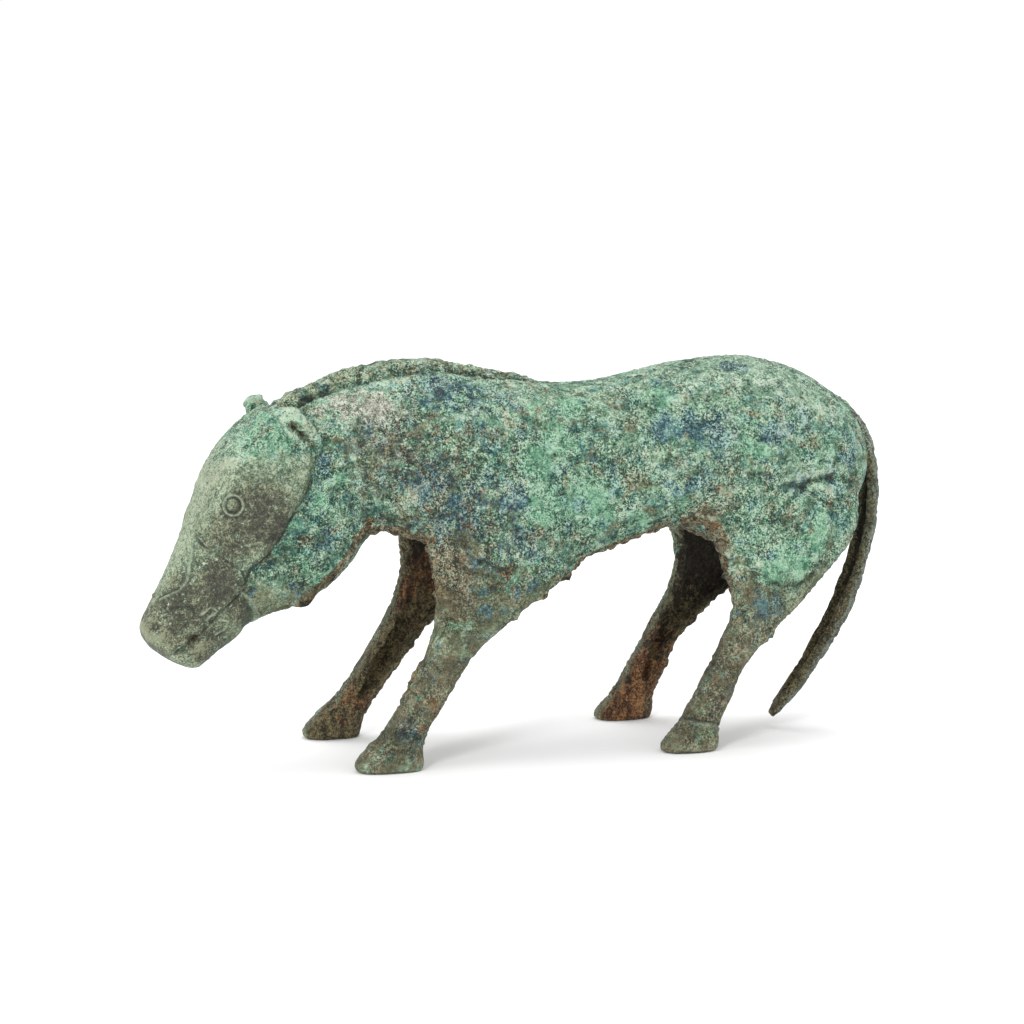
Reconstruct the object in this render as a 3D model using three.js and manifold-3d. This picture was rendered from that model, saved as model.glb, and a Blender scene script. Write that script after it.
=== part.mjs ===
// A small bronze horse with its head lowered, cast hollow in one piece and open along its underside.
// Each leg is a half shell whose channel runs up into the hollow of the body, and the tail is a
// curved channel too. Millimetres, +Z up, the hooves on z = 0, the muzzle towards -X, and the
// horse's left side towards -Y.
import * as THREE from "three";
import { mergeVertices } from "three/addons/utils/BufferGeometryUtils.js";
import Module from "manifold-3d";

const wasm = await Module();
wasm.setup();

// Driving dimensions
const WALL = 2.7; // thickness of the cast wall in body and head
const LEG_WALL = 2.4; // thickness of a leg's front, back and outer wall
const TAIL_WALL = 1.5; // thickness of the tail's channel
const CENTRE_SHIFT = -1.785; // puts the middle of the length on x = 0
const LEFT = -1; // side of the body towards -Y
const RIGHT = 1;

// How finely each form is divided
const BODY = { rings: 42, round: 28 };
const HEAD = { rings: 24, round: 22 };
const LEG = { rings: 16, round: 16 };
const HOLLOW = { rings: 24, round: 16 };
const HEAD_HOLLOW = { rings: 12, round: 14 };
const CHANNEL = { rings: 9, round: 12 };
const TAIL = { rings: 20, round: 12 };
const MANE = { rings: 20, round: 8 };

// Body, from inside the head to the rump. Each section stands between a point of the back and one
// of the belly line, both [x, z]; half is its half width, and lean above 0 narrows its upper part.
const bodySections = [
  { back: [-94, 52], belly: [-87.6, 35.2], half: 7.6, full: 2.3, lean: -0.1 },
  { back: [-90, 66], belly: [-76.3, 41.8], half: 11.2, full: 2.3, lean: -0.12 },
  { back: [-85, 80], belly: [-66.0, 44.6], half: 14.2, full: 2.3, lean: -0.12 },
  { back: [-79, 90], belly: [-56.8, 49.6], half: 16.0, full: 2.3, lean: -0.08 },
  { back: [-72.5, 97.4], belly: [-49.7, 56.4], half: 16.6, full: 2.3, lean: 0 },
  { back: [-65, 102.5], belly: [-44.4, 63.8], half: 16.8, full: 2.3, lean: 0.1 },
  { back: [-54, 106.6], belly: [-36.4, 62.2], half: 18.2, full: 2.3, lean: 0.18 },
  { back: [-40, 109.3], belly: [-27.5, 58.6], half: 21.3, full: 2.35, lean: 0.22 },
  { back: [-26, 110.3], belly: [-15, 53.0], half: 23.8, full: 2.4, lean: 0.22 },
  { back: [-12, 108.5], belly: [-4, 47.2], half: 24.8, full: 2.4, lean: 0.19 },
  { back: [2, 106.6], belly: [5, 44.8], half: 24.6, full: 2.35, lean: 0.14 },
  { back: [16, 104.8], belly: [17, 52.0], half: 24.0, full: 2.3, lean: 0.1 },
  { back: [30, 105.6], belly: [30, 56.8], half: 24.0, full: 2.3, lean: 0.1 },
  { back: [45, 108.3], belly: [43.5, 61.0], half: 25.2, full: 2.4, lean: 0.16 },
  { back: [60, 110.5], belly: [56, 57.0], half: 26.8, full: 2.45, lean: 0.18 },
  { back: [74, 110.5], belly: [66, 51.5], half: 27.8, full: 2.45, lean: 0.17 },
  { back: [86.5, 106.7], belly: [76.5, 50.0], half: 27.4, full: 2.4, lean: 0.15 },
  { back: [96.5, 100.9], belly: [87, 54.0], half: 24.6, full: 2.3, lean: 0.1 },
  { back: [103.8, 93.8], belly: [97, 60.8], half: 19.2, full: 2.2, lean: 0.08 },
  { back: [107.5, 86.2], belly: [103.8, 68.0], half: 12.4, full: 2.0, lean: 0.05 },
  { back: [108.6, 80.5], belly: [107.6, 74.5], half: 4.5, full: 2.0, lean: 0 },
];

// Head, from the end of the muzzle to the back of the cheeks
const headSections = [
  { back: [-107.9, 34.1], belly: [-103.5, 30.8], half: 3.2, full: 2.3, lean: 0 },
  { back: [-110.2, 37.6], belly: [-99.6, 28.8], half: 6.8, full: 2.5, lean: 0 },
  { back: [-110.6, 41.3], belly: [-95.0, 27.9], half: 8.3, full: 2.5, lean: 0 },
  { back: [-107.5, 47.8], belly: [-89.0, 32.4], half: 8.9, full: 2.5, lean: 0.04 },
  { back: [-102.7, 56.9], belly: [-81.9, 38.2], half: 10.0, full: 2.5, lean: 0.06 },
  { back: [-98.1, 66.4], belly: [-79.6, 48.6], half: 12.2, full: 2.6, lean: 0.06 },
  { back: [-94.6, 75.6], belly: [-74.3, 55.0], half: 15.0, full: 2.6, lean: 0.04 },
  { back: [-91.1, 84.4], belly: [-69.1, 62.3], half: 16.8, full: 2.6, lean: 0.04 },
  { back: [-84.4, 93.6], belly: [-64.0, 70.8], half: 17.3, full: 2.6, lean: 0.08 },
  { back: [-76.3, 100.4], belly: [-61.1, 80.4], half: 16.6, full: 2.5, lean: 0.12 },
  { back: [-68.5, 102.0], belly: [-60.0, 88.0], half: 13.5, full: 2.3, lean: 0.1 },
  { back: [-63.0, 99.5], belly: [-59.5, 93.0], half: 7.5, full: 2.0, lean: 0 },
];

// Legs, from the foot up: the front and back edges along X, and the inner and outer faces' distance
// from the middle of the body. right moves the right leg's front and back where the pair differ.
const foreLegSections = [
  { z: 0, front: -55.4, back: -36.8, inner: 21.0, outer: 32.6, full: 2.5, right: [0.3, -1.6] },
  { z: 2.2, front: -56.0, back: -36.4, inner: 20.8, outer: 33.0, full: 2.5, right: [0.5, -1.6] },
  { z: 6.5, front: -52.3, back: -36.2, inner: 20.6, outer: 31.6, full: 2.4, right: [0.2, -0.8] },
  { z: 11, front: -46.8, back: -34.3, inner: 20.0, outer: 30.4, full: 2.3, right: [0, -0.4] },
  { z: 16, front: -42.8, back: -31.0, inner: 19.2, outer: 29.8, full: 2.3, right: [0, -0.2] },
  { z: 24, front: -37.8, back: -24.8, inner: 18.0, outer: 29.0, full: 2.3, right: [0.2, -0.6] },
  { z: 33, front: -32.8, back: -18.0, inner: 16.8, outer: 28.2, full: 2.3, right: [0.5, -0.4] },
  { z: 42, front: -30.4, back: -5.6, inner: 15.8, outer: 27.2, full: 2.3, right: [1.4, 0] },
  { z: 51, front: -29.6, back: 7.0, inner: 14.8, outer: 26.2, full: 2.3, right: [2.2, 0] },
  { z: 61, front: -31.0, back: 11.0, inner: 13.0, outer: 25.6, full: 2.3, right: [2.2, 0] },
  { z: 72, front: -31.0, back: 9.0, inner: 11.0, outer: 25.0, full: 2.1, right: [1, 0] },
  { z: 84, front: -27.0, back: 2.0, inner: 10.0, outer: 21.5, full: 2.0, right: [0, 0] },
];
const hindLegSections = [
  { z: 0, front: 36.4, back: 52.8, inner: 21.4, outer: 32.6, full: 2.5, right: [0, 0] },
  { z: 2.2, front: 36.2, back: 53.6, inner: 21.2, outer: 33.0, full: 2.5, right: [0, 0] },
  { z: 6.5, front: 40.3, back: 53.5, inner: 21.0, outer: 31.8, full: 2.4, right: [-0.4, 0] },
  { z: 10, front: 43.5, back: 55.2, inner: 20.6, outer: 30.4, full: 2.3, right: [-1.2, -0.7] },
  { z: 16, front: 47.4, back: 58.4, inner: 19.8, outer: 29.8, full: 2.3, right: [-2, -1.6] },
  { z: 23, front: 51.8, back: 61.9, inner: 18.8, outer: 29.2, full: 2.3, right: [-2.5, -2.2] },
  { z: 31, front: 56.4, back: 69.4, inner: 17.6, outer: 28.8, full: 2.3, right: [-3, -2.9] },
  { z: 39, front: 60.2, back: 78.2, inner: 16.6, outer: 28.4, full: 2.3, right: [-2.9, -2.4] },
  { z: 46, front: 61.0, back: 85.8, inner: 15.6, outer: 28.2, full: 2.3, right: [-1.8, -1.6] },
  { z: 54, front: 57.6, back: 93.6, inner: 14.6, outer: 28.2, full: 2.3, right: [0.8, -0.5] },
  { z: 63, front: 54.5, back: 99.0, inner: 13.0, outer: 28.3, full: 2.25, right: [1.4, 0] },
  { z: 75, front: 55.5, back: 98.2, inner: 11.0, outer: 27.2, full: 2.0, right: [1, 0] },
  { z: 89, front: 63.0, back: 88.0, inner: 10.0, outer: 22.0, full: 2.0, right: [0, 0] },
];

// Tail: the middle of its length, [x, z], with its half depth and half width
const tailSections = [
  { at: [94.0, 99.5], depth: 1.6, half: 3.4 },
  { at: [102.5, 94.7], depth: 2.4, half: 3.9 },
  { at: [108.3, 87.4], depth: 2.4, half: 4.2 },
  { at: [111.3, 78.0], depth: 2.2, half: 4.5 },
  { at: [112.0, 67.0], depth: 2.2, half: 4.8 },
  { at: [110.3, 55.0], depth: 2.4, half: 5.0 },
  { at: [106.1, 41.5], depth: 2.6, half: 4.9 },
  { at: [99.9, 28.8], depth: 2.5, half: 4.5 },
  { at: [91.9, 16.4], depth: 2.2, half: 3.6 },
  { at: [84.2, 6.8], depth: 1.7, half: 2.8 },
  { at: [81.2, 3.2], depth: 1.1, half: 1.7 },
];

// Cropped mane: a ridge along the top of the neck, [x, z] of its crest
const maneSections = [
  { crest: [-74.5, 99.6], half: 1.8 },
  { crest: [-69.5, 103.6], half: 3.4 },
  { crest: [-62, 107.0], half: 3.9 },
  { crest: [-51.5, 110.3], half: 4.2 },
  { crest: [-39.8, 112.5], half: 4.4 },
  { crest: [-27.8, 113.4], half: 4.4 },
  { crest: [-15.8, 111.8], half: 4.0 },
  { crest: [-3.7, 109.2], half: 3.3 },
  { crest: [5.0, 107.0], half: 2.2 },
  { crest: [11.0, 104.2], half: 0.9 },
];
const MANE_DEPTH = 8; // from the crest down into the neck

const EAR = { base: [-63.2, 14.2, 90.8], tip: [-74.0, 18.4, 101.4], half: 3.5, depth: 2.3 };
const EYE = { at: [-87.6, 14.6, 75.9], radius: 2.8, bead: 0.7, turn: 0.3 };
const MOUTH = { corner: [-83.0, 52.4], lip: [-106.5, 28.5], depth: 0.9, height: 0.9 };

// A closed loop of points round a centre. up and side are its half axes, and full squares it off.
function loop(centre, up, side, full, lean, count) {
  const points = [];
  for (let i = 0; i < count; i++) {
    const angle = (2 * Math.PI * i) / count;
    const across = Math.sign(Math.cos(angle)) * Math.abs(Math.cos(angle)) ** (2 / full);
    const along = Math.sign(Math.sin(angle)) * Math.abs(Math.sin(angle)) ** (2 / full);
    points.push(
      centre
        .clone()
        .addScaledVector(side, across * (1 - lean * along))
        .addScaledVector(up, along),
    );
  }
  return points;
}

// A closed surface through a row of loops, with a fan at each end
function skin(loops) {
  const count = loops[0].length;
  const positions = loops.flat().flatMap((p) => p.toArray());
  const index = [];
  for (let r = 0; r < loops.length - 1; r++) {
    for (let i = 0; i < count; i++) {
      const a = r * count + i;
      const b = r * count + ((i + 1) % count);
      index.push(a, b, b + count, a, b + count, a + count);
    }
  }
  const ends = [
    [0, 1],
    [loops.length - 1, -1],
  ];
  for (const [ring, turn] of ends) {
    const middle = new THREE.Vector3();
    loops[ring].forEach((p) => middle.addScaledVector(p, 1 / count));
    const hub = positions.length / 3;
    positions.push(...middle.toArray());
    for (let i = 0; i < count; i++) {
      const a = ring * count + i;
      const b = ring * count + ((i + 1) % count);
      index.push(...(turn > 0 ? [hub, b, a] : [hub, a, b]));
    }
  }
  const geometry = new THREE.BufferGeometry();
  geometry.setAttribute("position", new THREE.Float32BufferAttribute(positions, 3));
  geometry.setIndex(index);
  return geometry;
}

// A geometry as a solid with its faces pointing out
function solid(geometry) {
  for (const name of ["normal", "uv"]) geometry.deleteAttribute(name);
  const merged = mergeVertices(geometry, 1e-4);
  const vertProperties = merged.attributes.position.array;
  const triVerts = new Uint32Array(merged.index.array);
  const make = () => new wasm.Manifold(new wasm.Mesh({ numProp: 3, vertProperties, triVerts }));
  const made = make();
  if (made.volume() > 0) return made;
  for (let i = 0; i < triVerts.length; i += 3) {
    [triVerts[i + 1], triVerts[i + 2]] = [triVerts[i + 2], triVerts[i + 1]];
  }
  return make();
}

const joined = (solids) => solids.reduce((all, next) => all.add(next));
const flat = ([x, z], y = 0) => new THREE.Vector3(x, y, z);
const smooth = (points) => new THREE.CatmullRomCurve3(points, false, "catmullrom", 0.5);

// Sections spread evenly along smooth curves through the values that pick() takes from each station
function along(stations, rings, picks, from = 0, to = 1) {
  const curves = picks.map((pick) => smooth(stations.map(pick)));
  return Array.from({ length: rings }, (_, r) => {
    const t = from + ((to - from) * r) / (rings - 1);
    return curves.map((curve) => curve.getPoint(t));
  });
}

// Body or head: sections that stand between the back line and the belly line, drawn in by inset
function trunk(stations, { rings, round }, inset = 0, from = 0, to = 1) {
  const picks = [
    (s) => flat(s.back),
    (s) => flat(s.belly),
    (s) => new THREE.Vector3(s.half, s.full, s.lean),
  ];
  const loops = along(stations, rings, picks, from, to).map(([top, bottom, shape]) => {
    const centre = top.clone().add(bottom).multiplyScalar(0.5);
    const up = top.clone().sub(centre);
    up.setLength(Math.max(up.length() - inset, 0.4));
    const side = new THREE.Vector3(0, Math.max(shape.x - inset, 0.4), 0);
    return loop(centre, up, side, shape.y, shape.z, round);
  });
  return solid(skin(loops));
}

// What a leg's curves run through
const legPicks = (side) => [
  (s) => {
    const [ahead, behind] = side === RIGHT ? s.right : [0, 0];
    return new THREE.Vector3(s.front + ahead, s.back + behind, s.z);
  },
  (s) => new THREE.Vector3(s.inner, s.outer, s.full),
];

// The outside of one leg
function leg(stations, side) {
  const picks = legPicks(side);
  const loops = along(stations, LEG.rings, picks).map(([edge, face]) => {
    const across = (side * (face.x + face.y)) / 2;
    const centre = new THREE.Vector3((edge.x + edge.y) / 2, across, edge.z);
    const ahead = new THREE.Vector3((edge.y - edge.x) / 2, 0, 0);
    const outward = new THREE.Vector3(0, (face.y - face.x) / 2, 0);
    return loop(centre, ahead, outward, face.z, 0, LEG.round);
  });
  return solid(skin(loops));
}

// The channel in a leg's inner side, from just above the foot up into the hollow of the body
function channel(stations, side, lowest) {
  const picks = legPicks(side);
  const top = stations.length - 1;
  const loops = along(stations, CHANNEL.rings, picks, lowest / top, 1).map(([edge, face], r) => {
    const opening = Math.min(1, 0.35 + 0.65 * (r / 2));
    const half = ((edge.y - edge.x) / 2 - LEG_WALL) * opening;
    const depth = (face.y - face.x - LEG_WALL) * opening;
    const centre = new THREE.Vector3((edge.x + edge.y) / 2, side * face.x, edge.z);
    return loop(
      centre,
      new THREE.Vector3(half, 0, 0),
      new THREE.Vector3(0, depth, 0),
      face.z,
      0,
      CHANNEL.round,
    );
  });
  return solid(skin(loops));
}

// The tail and its channel: sections square to the line that it follows
function tail(inset) {
  const picks = [
    (s) => flat(s.at),
    (s) => new THREE.Vector3(s.depth, s.half, 0),
  ];
  const sections = along(tailSections, TAIL.rings, picks);
  const first = inset ? 5 : 0;
  const last = inset ? TAIL.rings - 3 : TAIL.rings - 1;
  const loops = [];
  for (let r = first; r <= last; r++) {
    const [at, size] = sections[r];
    const before = sections[Math.max(r - 1, 0)][0];
    const after = sections[Math.min(r + 1, TAIL.rings - 1)][0];
    const run = after.clone().sub(before).normalize();
    const ahead = new THREE.Vector3(run.z, 0, -run.x);
    const centre = at.clone();
    let depth = size.x;
    let half = size.y;
    if (inset) {
      centre.addScaledVector(ahead, size.x);
      depth = 2 * size.x - TAIL_WALL;
      half = size.y - TAIL_WALL;
    }
    loops.push(
      loop(centre, ahead.multiplyScalar(depth), new THREE.Vector3(0, half, 0), 2.3, 0, TAIL.round),
    );
  }
  return solid(skin(loops));
}

function mane() {
  const picks = [(s) => flat(s.crest), (s) => new THREE.Vector3(s.half, 0, 0)];
  const loops = along(maneSections, MANE.rings, picks).map(([crest, size]) => {
    const centre = crest.clone();
    centre.z -= MANE_DEPTH / 2;
    const up = new THREE.Vector3(0, 0, MANE_DEPTH / 2);
    return loop(centre, up, new THREE.Vector3(0, size.x, 0), 3.2, 0.1, MANE.round);
  });
  return solid(skin(loops));
}

// A small ear like a folded leaf, from behind the cheek up to a rounded tip that stands off the head
function ear(side) {
  const mirror = ([x, y, z]) => new THREE.Vector3(x, side * y, z);
  const base = mirror(EAR.base);
  const run = mirror(EAR.tip).sub(base);
  const across = new THREE.Vector3(run.z, 0, -run.x).normalize();
  const outward = new THREE.Vector3().crossVectors(across, run).normalize();
  if (outward.y * side < 0) outward.negate();
  const shape = [
    [0, 0.6],
    [0.25, 0.85],
    [0.55, 1.0],
    [0.82, 0.95],
    [0.96, 0.68],
    [1.02, 0.3],
  ];
  const make = (stations, lift, half, depth) => {
    const loops = stations.map(([t, k]) =>
      loop(
        base.clone().addScaledVector(run, t).addScaledVector(outward, lift),
        across.clone().multiplyScalar(half * k),
        outward.clone().multiplyScalar(depth * k),
        2,
        0,
        10,
      ),
    );
    return solid(skin(loops));
  };
  const fold = make(shape.slice(0, 4), EAR.depth, EAR.half * 0.42, EAR.depth * 0.75);
  return make(shape, 0, EAR.half, EAR.depth).subtract(fold);
}

// A raised ring round the eye
function eye(side) {
  const ring = new THREE.TorusGeometry(EYE.radius, EYE.bead, 5, 16);
  ring.rotateX(Math.PI / 2);
  ring.rotateZ(side * EYE.turn);
  ring.translate(EYE.at[0], side * EYE.at[1], EYE.at[2]);
  return solid(ring);
}

// The line between the lips, cut into both sides of the muzzle
function mouth() {
  const [x0, z0] = MOUTH.corner;
  const [x1, z1] = MOUTH.lip;
  const length = Math.hypot(x1 - x0, z1 - z0);
  const bar = new THREE.BoxGeometry(length, 40, MOUTH.height);
  bar.rotateY(-Math.atan2(z1 - z0, x1 - x0));
  bar.translate((x0 + x1) / 2, 0, (z0 + z1) / 2);
  return solid(bar).subtract(trunk(headSections, HEAD, MOUTH.depth));
}

// The plan of the opening along the underside, [x, half width], from jaw to rump
const openingPlan = [
  [-45, 6],
  [-38, 10],
  [-26, 13],
  [-10, 14.5],
  [20, 15],
  [60, 15.5],
  [80, 14],
  [92, 9],
];
const OPENING_FOOT = 26;
const OPENING_TOP = 74;

function opening() {
  const plan = new THREE.Shape();
  const edge = [
    ...openingPlan.map(([x, y]) => [x, y]),
    ...openingPlan.toReversed().map(([x, y]) => [x, -y]),
  ];
  edge.forEach(([x, y], i) => (i ? plan.lineTo(x, y) : plan.moveTo(x, y)));
  plan.closePath();
  const depth = OPENING_TOP - OPENING_FOOT;
  const prism = new THREE.ExtrudeGeometry(plan, { depth, bevelEnabled: false });
  prism.translate(0, 0, OPENING_FOOT);
  return solid(prism);
}

const outside = joined([
  trunk(bodySections, BODY),
  trunk(headSections, HEAD),
  leg(foreLegSections, LEFT),
  leg(foreLegSections, RIGHT),
  leg(hindLegSections, LEFT),
  leg(hindLegSections, RIGHT),
  tail(0),
  mane(),
  ear(LEFT),
  ear(RIGHT),
  eye(LEFT),
  eye(RIGHT),
]);
const hollow = joined([
  trunk(bodySections, HOLLOW, WALL, 0.12, 0.93),
  trunk(headSections, HEAD_HOLLOW, WALL, 0.36, 0.9),
  opening(),
  channel(foreLegSections, LEFT, 3.2),
  channel(foreLegSections, RIGHT, 3.2),
  channel(hindLegSections, LEFT, 3.2),
  channel(hindLegSections, RIGHT, 3.2),
  tail(1),
]);
const cast = outside.subtract(hollow).subtract(mouth()).translate([CENTRE_SHIFT, 0, 0]);

const { vertProperties, triVerts } = cast.getMesh();
const surface = new THREE.BufferGeometry();
surface.setAttribute("position", new THREE.Float32BufferAttribute(vertProperties, 3));
surface.setIndex([...triVerts]);
surface.computeVertexNormals();

const bronze = new THREE.MeshStandardMaterial({ color: 0x5f7f6a, roughness: 0.85, metalness: 0.2 });
const horse = new THREE.Mesh(surface, bronze);
horse.name = "horse";
const model = new THREE.Group();
model.add(horse);
export default model;
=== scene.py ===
# %% [markdown]
# # A small cast bronze horse under its corrosion crust
# The object is one hollow bronze casting. Corrosion has covered it with green, blue and brown crust.
# We load the measured solid as a fixed frame, make a finer skin over the same sections, cut the
# hollow out of it, and paint it with the layers that burial leaves on bronze.

# %% Load the frame
import itertools
import math

import bmesh
import bpy
import numpy as np
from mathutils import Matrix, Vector
from mathutils.bvhtree import BVHTree
from mathutils.kdtree import KDTree


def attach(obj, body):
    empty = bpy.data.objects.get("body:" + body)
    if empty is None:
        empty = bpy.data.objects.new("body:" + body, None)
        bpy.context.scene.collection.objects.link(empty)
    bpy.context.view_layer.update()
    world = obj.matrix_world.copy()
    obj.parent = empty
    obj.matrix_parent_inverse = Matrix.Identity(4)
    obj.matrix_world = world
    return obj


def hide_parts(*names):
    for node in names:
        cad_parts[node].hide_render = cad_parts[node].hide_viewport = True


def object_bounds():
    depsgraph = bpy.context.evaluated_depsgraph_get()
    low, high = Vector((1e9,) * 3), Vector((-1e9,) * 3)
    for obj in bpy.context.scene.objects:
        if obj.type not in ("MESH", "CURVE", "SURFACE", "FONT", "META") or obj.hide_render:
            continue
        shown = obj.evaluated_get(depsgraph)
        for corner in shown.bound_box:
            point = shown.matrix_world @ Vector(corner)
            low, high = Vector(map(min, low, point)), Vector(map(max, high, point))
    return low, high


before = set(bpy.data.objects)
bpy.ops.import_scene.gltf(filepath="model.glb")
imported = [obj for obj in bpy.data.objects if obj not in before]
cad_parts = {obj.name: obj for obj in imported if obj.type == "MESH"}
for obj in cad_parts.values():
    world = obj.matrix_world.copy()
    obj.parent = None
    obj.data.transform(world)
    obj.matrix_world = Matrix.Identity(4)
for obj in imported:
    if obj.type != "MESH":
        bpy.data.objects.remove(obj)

cad_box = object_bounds()
print("the solid's box in metres:", [[round(v, 4) for v in corner] for corner in cad_box])

# %% [markdown]
# The photograph was taken from far away with a long lens, a little above the horse's back and
# slightly in front of it. A long lens keeps the near and the far legs almost equal in size, so the
# camera is placed by angle and distance, and its lens is worked out from the picture's scale.

# %% Camera
AZIMUTH = math.radians(-19.2)
ELEVATION = math.radians(8.1)
DISTANCE = 1.3
TARGET = Vector((-0.0018, 0, 0.0679))
FOCAL_IN_PICTURE_WIDTHS = 4.3925

backwards = Vector(
    (
        math.sin(AZIMUTH) * math.cos(ELEVATION),
        -math.cos(AZIMUTH) * math.cos(ELEVATION),
        math.sin(ELEVATION),
    )
)
camera_data = bpy.data.cameras.new("camera")
camera_data.sensor_width = 36
camera_data.lens = FOCAL_IN_PICTURE_WIDTHS * camera_data.sensor_width
camera_data.clip_start = 0.05
camera_data.clip_end = 100
camera = bpy.data.objects.new("camera", camera_data)
camera.location = TARGET + backwards * DISTANCE
camera.rotation_mode = "QUATERNION"
camera.rotation_quaternion = (-backwards).to_track_quat("-Z", "Y")
bpy.context.collection.objects.link(camera)
bpy.context.scene.camera = camera
print("lens in mm:", round(camera_data.lens, 1))

# %% [markdown]
# The table of sections is in millimetres, because that is how such a piece is measured. Catmull-Rom
# curves run through every measured value, so a few stations describe a long soft form. The same
# stations made the solid, so the skin lies where the solid does.

# %% Curves and sections
MM = 0.001
CENTRE_SHIFT = -1.785


def through(rows, steps, first=0.0, last=1.0):
    """Rows spread evenly along smooth curves through a table's rows."""
    table = np.array(rows, float)
    table = np.vstack([2 * table[0] - table[1], table, 2 * table[-1] - table[-2]])
    spans = len(rows) - 1
    place = np.clip(np.linspace(first, last, steps) * spans, 0, spans - 1e-9)
    span = place.astype(int)
    u = (place - span)[:, None]
    a, b, c, d = (table[span + k] for k in range(4))
    return b + 0.5 * u * (c - a + u * (2 * a - 5 * b + 4 * c - d + u * (3 * (b - c) + d - a)))


def squared_loops(centre, up, side, full, lean, count):
    """Closed loops round a row of centres.

    up and side are half axes, full squares the loops off, and lean narrows them towards the top.
    """
    angle = np.linspace(0, 2 * math.pi, count, endpoint=False)
    power = 2 / np.broadcast_to(full, len(centre))[:, None]
    across = np.sign(np.cos(angle)) * np.abs(np.cos(angle)) ** power
    along = np.sign(np.sin(angle)) * np.abs(np.sin(angle)) ** power
    across = across * (1 - np.broadcast_to(lean, len(centre))[:, None] * along)
    return (
        centre[:, None]
        + side[:, None] * across[:, :, None]
        + up[:, None] * along[:, :, None]
    )


def skin(loops):
    """Corners and faces of a closed surface through a row of loops."""
    rings, count, _ = loops.shape
    corners = loops.reshape(-1, 3).tolist()
    faces = []
    for r, i in itertools.product(range(rings - 1), range(count)):
        j = (i + 1) % count
        faces.append((r * count + i, r * count + j, (r + 1) * count + j, (r + 1) * count + i))
    faces.append(tuple(reversed(range(count))))
    faces.append(tuple(range((rings - 1) * count, rings * count)))
    return corners, faces


def mesh_object(name, skins):
    """One mesh from several closed skins, each with its faces turned outwards."""
    corners, faces = [], []
    for more_corners, more_faces in skins:
        start = len(corners)
        corners += more_corners
        faces += [tuple(start + i for i in face) for face in more_faces]
    mesh = bpy.data.meshes.new(name)
    mesh.from_pydata(corners, [], faces)
    shape = bmesh.new()
    shape.from_mesh(mesh)
    bmesh.ops.recalc_face_normals(shape, faces=shape.faces)
    shape.to_mesh(mesh)
    shape.free()
    made = bpy.data.objects.new(name, mesh)
    bpy.context.collection.objects.link(made)
    return made


# %% [markdown]
# Body and head are the two big forms. Each section stands between a point of the back and a point
# of the belly, so the sections can tip over with the lowered neck. The head's sections follow the
# face from the muzzle up to the poll.

# %% Body and head
# back x, back z, belly x, belly z, half width, squareness, narrowing towards the top
BODY_SECTIONS = (
    (-94, 52, -87.6, 35.2, 7.6, 2.3, -0.1),
    (-90, 66, -76.3, 41.8, 11.2, 2.3, -0.12),
    (-85, 80, -66, 44.6, 14.2, 2.3, -0.12),
    (-79, 90, -56.8, 49.6, 16, 2.3, -0.08),
    (-72.5, 97.4, -49.7, 56.4, 16.6, 2.3, 0),
    (-65, 102.5, -44.4, 63.8, 16.8, 2.3, 0.1),
    (-54, 106.6, -36.4, 62.2, 18.2, 2.3, 0.18),
    (-40, 109.3, -27.5, 58.6, 21.3, 2.35, 0.22),
    (-26, 110.3, -15, 53, 23.8, 2.4, 0.22),
    (-12, 108.5, -4, 47.2, 24.8, 2.4, 0.19),
    (2, 106.6, 5, 44.8, 24.6, 2.35, 0.14),
    (16, 104.8, 17, 52, 24, 2.3, 0.1),
    (30, 105.6, 30, 56.8, 24, 2.3, 0.1),
    (45, 108.3, 43.5, 61, 25.2, 2.4, 0.16),
    (60, 110.5, 56, 57, 26.8, 2.45, 0.18),
    (74, 110.5, 66, 51.5, 27.8, 2.45, 0.17),
    (86.5, 106.7, 76.5, 50, 27.4, 2.4, 0.15),
    (96.5, 100.9, 87, 54, 24.6, 2.3, 0.1),
    (103.8, 93.8, 97, 60.8, 19.2, 2.2, 0.08),
    (107.5, 86.2, 103.8, 68, 12.4, 2, 0.05),
    (108.6, 80.5, 107.6, 74.5, 4.5, 2, 0),
)
HEAD_SECTIONS = (
    (-107.9, 34.1, -103.5, 30.8, 3.2, 2.3, 0),
    (-110.2, 37.6, -99.6, 28.8, 6.8, 2.5, 0),
    (-110.6, 41.3, -95, 27.9, 8.3, 2.5, 0),
    (-107.5, 47.8, -89, 32.4, 8.9, 2.5, 0.04),
    (-102.7, 56.9, -81.9, 38.2, 10, 2.5, 0.06),
    (-98.1, 66.4, -79.6, 48.6, 12.2, 2.6, 0.06),
    (-94.6, 75.6, -74.3, 55, 15, 2.6, 0.04),
    (-91.1, 84.4, -69.1, 62.3, 16.8, 2.6, 0.04),
    (-84.4, 93.6, -64, 70.8, 17.3, 2.6, 0.08),
    (-76.3, 100.4, -61.1, 80.4, 16.6, 2.5, 0.12),
    (-68.5, 102, -60, 88, 13.5, 2.3, 0.1),
    (-63, 99.5, -59.5, 93, 7.5, 2, 0),
)


def trunk(sections, steps, count, inset=0.0, first=0.0, last=1.0):
    """Body or head: loops between the back line and the belly line, drawn in by inset."""
    rows = through(sections, steps, first, last)
    flat = np.zeros(len(rows))
    top = np.stack([rows[:, 0], flat, rows[:, 1]], axis=1)
    bottom = np.stack([rows[:, 2], flat, rows[:, 3]], axis=1)
    centre = (top + bottom) / 2
    up = top - centre
    length = np.linalg.norm(up, axis=1)
    up *= (np.maximum(length - inset, 0.4) / length)[:, None]
    side = np.stack([flat, np.maximum(rows[:, 4] - inset, 0.4), flat], axis=1)
    return skin(squared_loops(centre, up, side, rows[:, 5], rows[:, 6], count))


outside = [trunk(BODY_SECTIONS, 110, 84), trunk(HEAD_SECTIONS, 64, 64)]
print("body and head:", sum(len(corners) for corners, _ in outside), "corners")

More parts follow.
